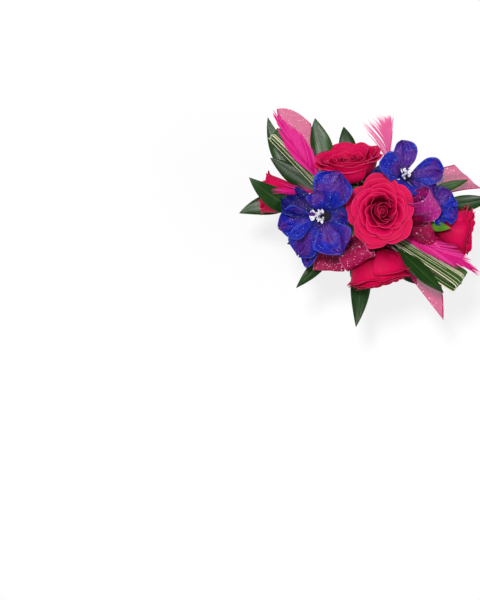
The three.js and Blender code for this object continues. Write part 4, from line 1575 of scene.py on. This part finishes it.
@dataclass(frozen=True)
class Feather:
    """A dyed feather: a quill with two vanes of single barbs that part into tufts."""

    name: str
    seat: Pair
    tip: Triple
    arch: float
    left: Vane
    right: Vane
    bare: float
    quill: float
    flare: float = 1.0
    barb_width: float = 0.32
    sway: float = 0.0
    fullness: float = 0.45
    tufting: float = 0.14
    quill_radius: float = 0.45
    quill_taper: float = 0.35
    quill_steps: int = 24

    def _vane(self, line: Bow, sign: int, vane: Vane, luck: random.Random) -> Piece:
        """Models the barbs on one side of the quill.

        Args:
            line: the quill.
            sign: -1 at the left of it and 1 at the right.
            vane: the barbs' measures.
            luck: what makes tufts and barbs differ.

        Returns:
            The barbs.
        """
        along = np.linspace(0, 1, vane.count)
        place = self.bare + (self.quill - self.bare) * along
        tufts = np.cumsum(np.array([luck.random() < self.tufting for _ in along]))
        grouped = np.array([luck.uniform(-1, 1) for _ in range(tufts[-1] + 1)])[tufts]
        single = np.array([luck.uniform(-1, 1) for _ in along])
        ragged = vane.spread / 3
        angle = vane.foot_angle + (vane.tip_angle - vane.foot_angle) * along**vane.bend
        angle = np.radians(np.maximum(angle + vane.spread * (grouped + 0.35 * single), 0.5))
        length = vane.foot_length + (vane.tip_length - vane.foot_length) * along ** (vane.bend / 1.5)
        length = length * (1 + ragged * (0.08 * grouped + 0.10 * single))
        length = length * (self.fullness + (1 - self.fullness) * eased(along, 0.0, 0.25))
        droop = ragged * (0.7 * grouped + 0.35 * single) - 0.05 * length
        widths = self.barb_width * np.array((0.8, 1.0, 1.0, 1.0, 0.9, 0.75, 0.5, 0.12))
        t = np.linspace(0, 1, len(widths))[None, :, None]
        tangent, side, normal = line.axes(place)
        paths = (
            line.at(place)[:, None, :]
            + sign * side[:, None, :] * ((length * np.sin(angle))[:, None, None] * t**self.flare)
            + tangent[:, None, :] * ((length * np.cos(angle))[:, None, None] * t)
            + normal[:, None, :] * (droop[:, None, None] * t * t)
        )
        shades = np.clip(0.55 + 0.28 * grouped + 0.2 * single, 0, 1)
        return Bench.strips("vane", paths, widths, normal, shades)

    def build(self, finish: Material) -> None:
        """Builds the feather on the spray.

        Args:
            finish: its material.
        """
        luck = random.Random(self.name)
        line = Bow.arched(self.seat, self.tip, self.arch, self.sway)
        t = np.linspace(0, self.quill + 0.02, self.quill_steps)
        parts = [
            Bench.tube("quill", line.at(t), self.quill_radius - self.quill_taper * t / t[-1], sides=8, shade=0.6),
            self._vane(line, -1, self.left, luck),
            self._vane(line, 1, self.right, luck),
        ]
        piece = Bench.join(parts, f"plume_{self.name}")
        Bench.mount(piece, finish, Slot.FEATHER, f"feather_{self.name}")


@dataclass(frozen=True)
class GrassBlade:
    """A blade of lily grass folded back on itself."""

    name: str
    seat: Pair
    fold: Triple
    back: Triple
    width: float
    fold_radius: float = 2.2
    thickness: float = 0.32

    def _line(self, steps: int) -> Array:
        """Follows the blade's middle, on a smooth curve through its knots.

        Args:
            steps: how many points.

        Returns:
            The points.
        """
        start, fold, back = seat_point(self.seat, -TAPE_CLEAR), np.array(self.fold), np.array(self.back)
        ends, lower = start + 0.6 * back, fold + back
        bend = (fold + lower) / 2 + unit(fold - start) * self.fold_radius
        rise = (start + fold) / 2 + np.array(UP) * self.fold_radius
        knots = [start, rise, fold, bend, lower, lower + (ends - lower) * 0.7]
        knots = [2 * knots[0] - knots[1], *knots, 2 * knots[-1] - knots[-2]]
        points = []
        for t in np.linspace(0, len(knots) - 3 - 1e-6, steps):
            k, f = int(t), t - int(t)
            a, b, c, d = knots[k : k + 4]
            cubic = (2 * a - 5 * b + 4 * c - d) * f * f + (3 * b - a - 3 * c + d) * f**3
            points.append(0.5 * (2 * b + (c - a) * f + cubic))
        return np.array(points)

    def build(self, finish: Material) -> None:
        """Builds the blade on the spray.

        Args:
            finish: its material.
        """
        luck = random.Random(self.name)
        last = GRASS_FACES[1]
        line = self._line(last + 1)
        tangent = unit(np.gradient(line, axis=0))
        side = unit(np.cross(unit(np.array(self.fold) - line[0]), -np.array(self.back)))
        phase = luck.uniform(*ANY_PHASE)

        def surface(u: Array, v: Array) -> Array:
            """Points at u and v, as Bench.grid asks."""
            step = np.rint(v * last).astype(int)
            half = self.width / 2 * (0.38 + 0.62 * swelling(2.1 * v))
            out = np.cross(side, tangent[step])
            cup = 0.10 * u * u * half + 0.12 * np.sin(7 * v + phase) * u
            return line[step] + side * (u * half)[:, None] + out * cup[:, None]

        piece = Bench.grid(f"blade_{self.name}", GRASS_FACES, surface, luck.random())
        Bench.thicken(piece, self.thickness)
        Bench.mount(piece, finish, Slot.GRASS, f"grass_{self.name}")


@dataclass(frozen=True)
class Leaf:
    """A ruscus leaf on its stalk."""

    name: str
    seat: Pair
    tip: Triple
    arch: float
    width: float
    bare: float
    sway: float = 0.0
    turn: float = 0.0
    stalk: float = 1.8
    thickness: float = 0.4

    def build(self, finish: Material) -> None:
        """Builds the leaf on the spray.

        Args:
            finish: its material.
        """
        luck = random.Random(self.name)
        line = Bow.arched(self.seat, self.tip, self.arch, self.sway)
        phase, twist = luck.uniform(*ANY_PHASE), luck.uniform(-8, 8)

        def surface(u: Array, v: Array) -> Array:
            """Points at u and v, as Bench.grid asks."""
            along = np.clip((v - self.bare) / (1 - self.bare), 0, 1)
            _, side, normal = line.axes(v, self.turn + twist * along)
            lance = np.sin(np.pi * along**0.8) ** 0.9
            stalk = self.stalk / 2 * (1 - 0.7 * v) * (1 - eased(v, 0.9, 1.0) * 0.9)
            half = np.maximum(self.width / 2 * lance, stalk)
            keel = 0.16 * half * (np.sqrt(u * u + 0.02) - 0.14) - 0.22 * half * u * u
            wave = 0.05 * half * np.sin(9 * along + phase) * u * u * np.sign(u)
            return line.at(v) + side * (u * half)[:, None] + normal * (keel + wave)[:, None]

        piece = Bench.grid(f"ruscus_{self.name}", LEAF_FACES, surface, luck.random())
        Bench.thicken(piece, self.thickness)
        Bench.mount(piece, finish, Slot.LEAF, f"leaf_{self.name}")


# ---------------------------------------------------------------- wristlet


@dataclass(frozen=True)
class Wristlet:
    """The elastic band that is threaded round the plate's end bars; the plate, core and wire stay as they are."""

    half_width: float = 29.1
    palm_depth: float = 21.1
    palm_steps: int = 62
    bar_middle: float = 17.75
    bar_inner: float = 16.5
    over: float = 22.2
    under: float = 19.6
    tail_wide: float = 9.85
    tail_turn: float = 42.0
    elastic_width: float = 10.0
    thickness: float = 1.15

    @staticmethod
    def _arc(middle: Pair, radii: Pair, first: float, last: float, steps: int) -> Array:
        """Points of an ellipse in a number of steps, between two angles in degrees."""
        angle = np.radians(np.linspace(first, last, steps))
        return np.array(middle) + np.stack((np.cos(angle), np.sin(angle)), axis=-1) * np.array(radii)

    def _half_run(self) -> Array:
        """Follows one side of the band, from its stitched tail to the side of the wrist.

        Returns:
            Points in the YZ plane.
        """
        radius, level = (self.over - self.under) / 2, (self.over + self.under) / 2
        reach = self.half_width - self.bar_middle
        return np.vstack((
            self._arc((self.bar_middle, 0), (self.tail_wide, self.under), 90 - self.tail_turn, 90, steps=22),
            self._arc((self.bar_inner, level), (radius, radius), 270, 90, steps=13),
            self._arc((self.bar_middle, 0), (reach, self.over), 90, 0, steps=34),
        ))

    def build(self, elastic: Material, tape: Material, wire: Material, steel: Material) -> None:
        """Builds the band across its joint and dresses the plate, core and wire.

        Args:
            elastic: the band's material.
            tape: the core's.
            wire: the wire's.
            steel: the plate's.
        """
        half = self._half_run()
        palm = self._arc((0, 0), (self.half_width, self.palm_depth), 0, -180, self.palm_steps)[1:-1]
        run = np.vstack((half, palm, (half * (-1, 1))[::-1]))
        length = run_lengths(run)

        def surface(u: Array, v: Array) -> Array:
            """Points at u and v, as Bench.grid asks."""
            y, z = (np.interp(v * length[-1], length, run[:, axis]) for axis in range(2))
            return np.stack((u * self.elastic_width / 2, y, z - PLATE_TOP), axis=-1)

        piece = Bench.grid("elastic_band", BAND_FACES, surface)
        Bench.stretch_uv(piece, length[-1] / self.elastic_width)
        Bench.solidify(piece, self.thickness)
        Bench.dress(piece, elastic, Slot.ELASTIC, "elastic_side_rear", "elastic_side_front", "elastic_palm")
        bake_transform(piece)
        for node, finish in (("taped_core", tape), ("binding_wire", wire), ("wrist_plate", steel)):
            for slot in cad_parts[node].material_slots:
                slot.material = finish


# ---------------------------------------------------------------- the corsage and its studio


class Corsage:
    """All the sub-assemblies in their places."""

    ROSES = (
        Rose("rose_centre", (7.8, 2.7, 34.5), 205, 86, 19.4, 21, 20, BloomKind.OPEN, (22, 9), 0.11, 35, 0.91),
        Rose("rose_top", (-8.7, 32, 20), 98, 24, 17.5, 20, 50, BloomKind.BOWL, (115, 6), -0.05, -45, ruffle=1.9),
        Rose("rose_bottom", (10, -34.5, 13.5), -75, -2, 17.8, 25, 8, BloomKind.CUPPED, (-72, 6), ruffle=1.5),
        Rose("rose_right", (55.5, -8.2, 11), -10, 0, 13.5, 26, 30, BloomKind.CUPPED, (-10, 6)),
        Rose("rose_left", (-52.5, 13.2, 13.5), 168, 0, 11, 25, 0, BloomKind.BUD, (166, 6)),
    )
    # Sepals with low tones are painted darker, as shade where they lie under others.
    FLORETS = (
        Delphinium("delphinium_left", (-21.6, 0.4, 27), 180, 80, (180, 6), True, (
            Sepal(65, 23, 22, 18, 0.6), Sepal(152, 21, 16, 5, 0.2), Sepal(195, 21, 17, 4),
            Sepal(237, 22, 18, -5, 0.4), Sepal(298, 20, 20, 10, 0.8), Sepal(249, 27, 10, -20),
            Sepal(352, 12, 13, -6, 0.1), Sepal(94, 13, 13, 34, 0.6)),
            bee_length=4.2, bee_width=3.4, bee_side=185),
        Delphinium("delphinium_upper_right", (19.9, 19.9, 23), 45, 65, (45, 6), True, (
            Sepal(98, 17, 13.4, 25, 1.0), Sepal(168, 18, 15, 33), Sepal(10, 19, 14, 14),
            Sepal(332, 17, 13, 1, 0.9), Sepal(249, 10, 15, 4), Sepal(178, 16.5, 10, 2, 0.0)),
            bee_length=2.8, bee_width=2.5, bee_side=100, throat=0.5),
        Delphinium("delphinium_right", (34, 4, 19), 10, 75, (8, 6), False, (
            Sepal(45, 11, 13, 14), Sepal(350, 12, 13, 26), Sepal(300, 8, 9, 24), Sepal(95, 7, 9, 10))),
    )
    LOOPS = (
        RibbonLoop("loop_right", (16, 5), (24.8, 4.2, 24), (34.2, 7.2, 33), (0.45, -0.57, -0.69), 10.5),
        RibbonLoop("loop_lower_right", (-18, 8), (24, -6.7, 20), (34, -6.9, 24.5), (0.3, -0.55, -0.78), 8),
        RibbonLoop("loop_lower", (-108, 7.5), (-5, -15.5, 20), (-3.8, -22.3, 29), (0.80, 0.46, 0.34), 9.4),
    )
    TAILS = (
        RibbonTail("tail_upper_left", (140, 5), (-30, 20, 3), (-35.2, 51.8, 6), 5, 0, 3),
        RibbonTail("tail_right", (33, 5), (28, 18, 10), (52.5, 20.6, 13), -6, 35),
        RibbonTail("tail_lower_right", (-46, 5), (30, -13, 7), (32.2, -40.5, 4), 12, 0),
        RibbonTail("tail_lower_left", (-128, 6), (-17, -14, 15), (-17.7, -26.8, 12), 0, 0),
    )
    FEATHERS = (
        Feather("upper_left", (140, 6.5), (-42.5, 49.5, 26), 2, Vane(240, 20, 15, 7, 2, 2.2),
                Vane(360, 22, 12, 27, 2, 1.6), 0.36, 0.82, 0.8, 0.42, 4, 0.7),
        Feather("left", (146, 7), (-45, 11.5, 31), 2, Vane(22, 13, 8, 16, 5, 4.0), Vane(26, 13, 8, 18, 5, 4.0),
                0.5, 0.86, 1.0, 0.24, -4),
        Feather("top", (72, 6), (14.2, 51.4, 13), 1, Vane(84, 19, 6, 46, 5, 5.0, 2.5), Vane(26, 8, 6, 8, 3, 2.0),
                0.46, 0.86, 1.5, 0.36, -3, 0.85),
        Feather("lower_right", (-34, 6.5), (57.5, -28.7, 27), 1, Vane(260, 22, 12, 12, 4, 3.4),
                Vane(250, 21, 12, 13, 4, 3.4), 0.19, 0.78, 1.1, 0.32, 2, 0.8),
    )
    GRASS = (
        GrassBlade("upper_left", (147, 5), (-42.6, 40.6, 17), (-0.8, -0.5, -4.5), 7.5),
        GrassBlade("lower_right", (-37, 4.5), (45.3, -31.0, 20), (-1.8, -2.4, -4.4), 7.2, 3.0),
        GrassBlade("lower_right_outer", (-28, 4), (48.0, -27.5, 17), (-1.6, -2.2, -4.4), 6.2, 3.0),
    )
    LEAVES = (
        Leaf("far_upper_left", (134, 4.5), (-48.3, 52, -2), -2, 10, 0.4, 9),
        Leaf("upper_left", (124, 4.5), (-24.4, 50.9, 6), 0, 11, 0.45, 3, -2),
        Leaf("top", (104, 4.5), (-9.7, 46.8, 3), -2, 9, 0.5, 0, -4),
        Leaf("mid_left", (156, 4.2), (-47.2, 30.7, 6), 0, 10, 0.35),
        Leaf("left", (182, 4.5), (-58, 19.7, 26), 5, 11, 0.4, 5),
        Leaf("far_left", (172, 4.2), (-63, 2.8, -1), -3, 11, 0.45, -6),
        Leaf("lower_left", (-133, 4.2), (-34, -35.4, 4), 0, 7, 0.3),
        Leaf("bottom", (-95, 4.5), (-3.4, -55.3, 2), -2, 10.5, 0.12, 1.2, 4),
        Leaf("lower_right", (-44, 7), (39.5, -38, 22), 7, 9, 0.36, 0, -22),
        Leaf("under_rose", (-52, 5.5), (27.9, -33.4, 0), 0, 9, 0.5),
        Leaf("right", (26, 4.2), (52.5, 19, 18), 1, 5, 0.55),
        Leaf("far_right", (2, 3.4), (65.6, 10, 5), -2, 9, 0.5),
        Leaf("small_right", (2, 8.5), (42.3, -5.7, 28), -5, 5, 0.7),
        Leaf("side_left", (-160, 4.2), (-38.7, -13.1, 9), 0, 9, 0.3),
    )

    def build(self) -> None:
        """Builds every sub-assembly."""
        petal, green = RosePetalFinish().make(), StemFinish().make()
        for rose in self.ROSES:
            rose.build(petal, green)
        blue, white = DelphiniumFinish().make(), BeeFinish().make()
        for floret in self.FLORETS:
            floret.build(blue, white)
        sheer = OrganzaFinish().make()
        layered = OrganzaFinish("organza_layered", 0.90, (0.34, 0.001, 0.062), (0.58, 0.07, 0.22)).make()
        violet = OrganzaFinish("organza_over_blue", 0.88, (0.42, 0.010, 0.22), (0.62, 0.08, 0.36)).make()
        for ribbon in (*self.LOOPS, *self.TAILS):
            doubled = ribbon.name.startswith("loop") or ribbon.name.endswith("lower_left")
            ribbon.build(violet if ribbon.name == "loop_right" else layered if doubled else sheer)
        dyed = FeatherFinish().make()
        faded = FeatherFinish("feather_pale", (0.70, 0.110, 0.29), (0.60, 0.03, 0.21), (0.93, 0.44, 0.64)).make()
        for feather in self.FEATHERS:
            feather.build(faded if feather.name == "top" else dyed)
        striped = GrassFinish().make()
        for blade in self.GRASS:
            blade.build(striped)
        glossy = LeafFinish().make()
        young = LeafFinish("ruscus_young", (0.060, 0.200, 0.012), (0.14, 0.33, 0.03), (0.25, 0.42, 0.10)).make()
        for leaf in self.LEAVES:
            leaf.build(young if leaf.name == "small_right" else glossy)
        Wristlet().build(ElasticFinish().make(), TapeFinish().make(), WireFinish().make(), SteelFinish().make())


@dataclass(frozen=True)
class Studio:
    """White floor, soft lights and the camera, in metres."""

    floor_level: float = -0.0405
    floor_size: float = 4.0
    paper: Colour = (0.90, 0.90, 0.90)
    glow: float = 0.75
    sky: float = 0.40
    aim: Triple = (0, 0, 0.03)
    eye: Triple = (-0.0625, -0.0415, 1.170)
    lens: float = 135.0
    clip: Pair = (0.05, 20.0)

    @staticmethod
    def _seen(s: Shader, lit: Sock, seen: Sock, share: float = 1.0) -> Sock:
        """A surface that shows a share of what is to be seen to the camera, and lights as it is lit."""
        camera = s.node("ShaderNodeLightPath", output="Is Camera Ray")
        return s.node("ShaderNodeMixShader", inputs={0: camera * share, 1: lit, 2: seen})

    def _floor(self) -> None:
        """Lays a white floor that keeps the object's shadow."""
        bpy.ops.mesh.primitive_plane_add(size=self.floor_size, location=(0, 0, self.floor_level))
        floor = bpy.context.active_object
        floor.name = "floor"
        material = bpy.data.materials.new("floor")
        floor.data.materials.append(material)
        s = Shader(material)
        paper = s.node("ShaderNodeBsdfDiffuse", inputs={0: self.paper})
        glow = s.node("ShaderNodeEmission", inputs={0: WHITE, 1: 1.0})
        s.close(self._seen(s, paper, glow, self.glow))

    def _sky(self) -> None:
        """Sets an even sky, white where the camera sees it."""
        world = bpy.data.worlds.new("studio")
        bpy.context.scene.world = world
        s = Shader(world)
        lit, seen = (s.node("ShaderNodeBackground", inputs={0: WHITE, 1: power}) for power in (self.sky, 1.0))
        s.close(self._seen(s, lit, seen), "ShaderNodeOutputWorld")

    def _lamp(self, name: str, place: Triple, size: float, power: float) -> None:
        """Hangs a square soft light that faces the flowers.

        Args:
            name: the light's name.
            place: where it hangs.
            size: length of its side.
            power: in watts.
        """
        data = bpy.data.lights.new(name, "AREA")
        data.size, data.energy = size, power
        lamp = bpy.data.objects.new(name, data)
        lamp.location = place
        lamp.rotation_euler = (Vector(self.aim) - Vector(place)).to_track_quat("-Z", "Y").to_euler()
        bpy.context.collection.objects.link(lamp)

    def build(self) -> None:
        """Builds the studio."""
        self._floor()
        self._sky()
        self._lamp("key", (-0.18, 0.22, 1.25), size=0.16, power=11.5)
        self._lamp("fill", (0.70, -0.20, 0.80), size=0.6, power=2.5)
        data = bpy.data.cameras.new("camera")
        data.lens = self.lens
        data.clip_start, data.clip_end = self.clip
        camera = bpy.data.objects.new("camera", data)
        camera.location = self.eye
        bpy.context.collection.objects.link(camera)
        bpy.context.scene.camera = camera
        bpy.context.scene.view_settings.view_transform = "Standard"


def main() -> None:
    """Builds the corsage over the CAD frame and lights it."""
    logging.basicConfig(level=logging.INFO, format="%(name)s %(message)s")
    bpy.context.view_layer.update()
    Corsage().build()
    Studio().build()


if __name__ == "__main__":
    main()
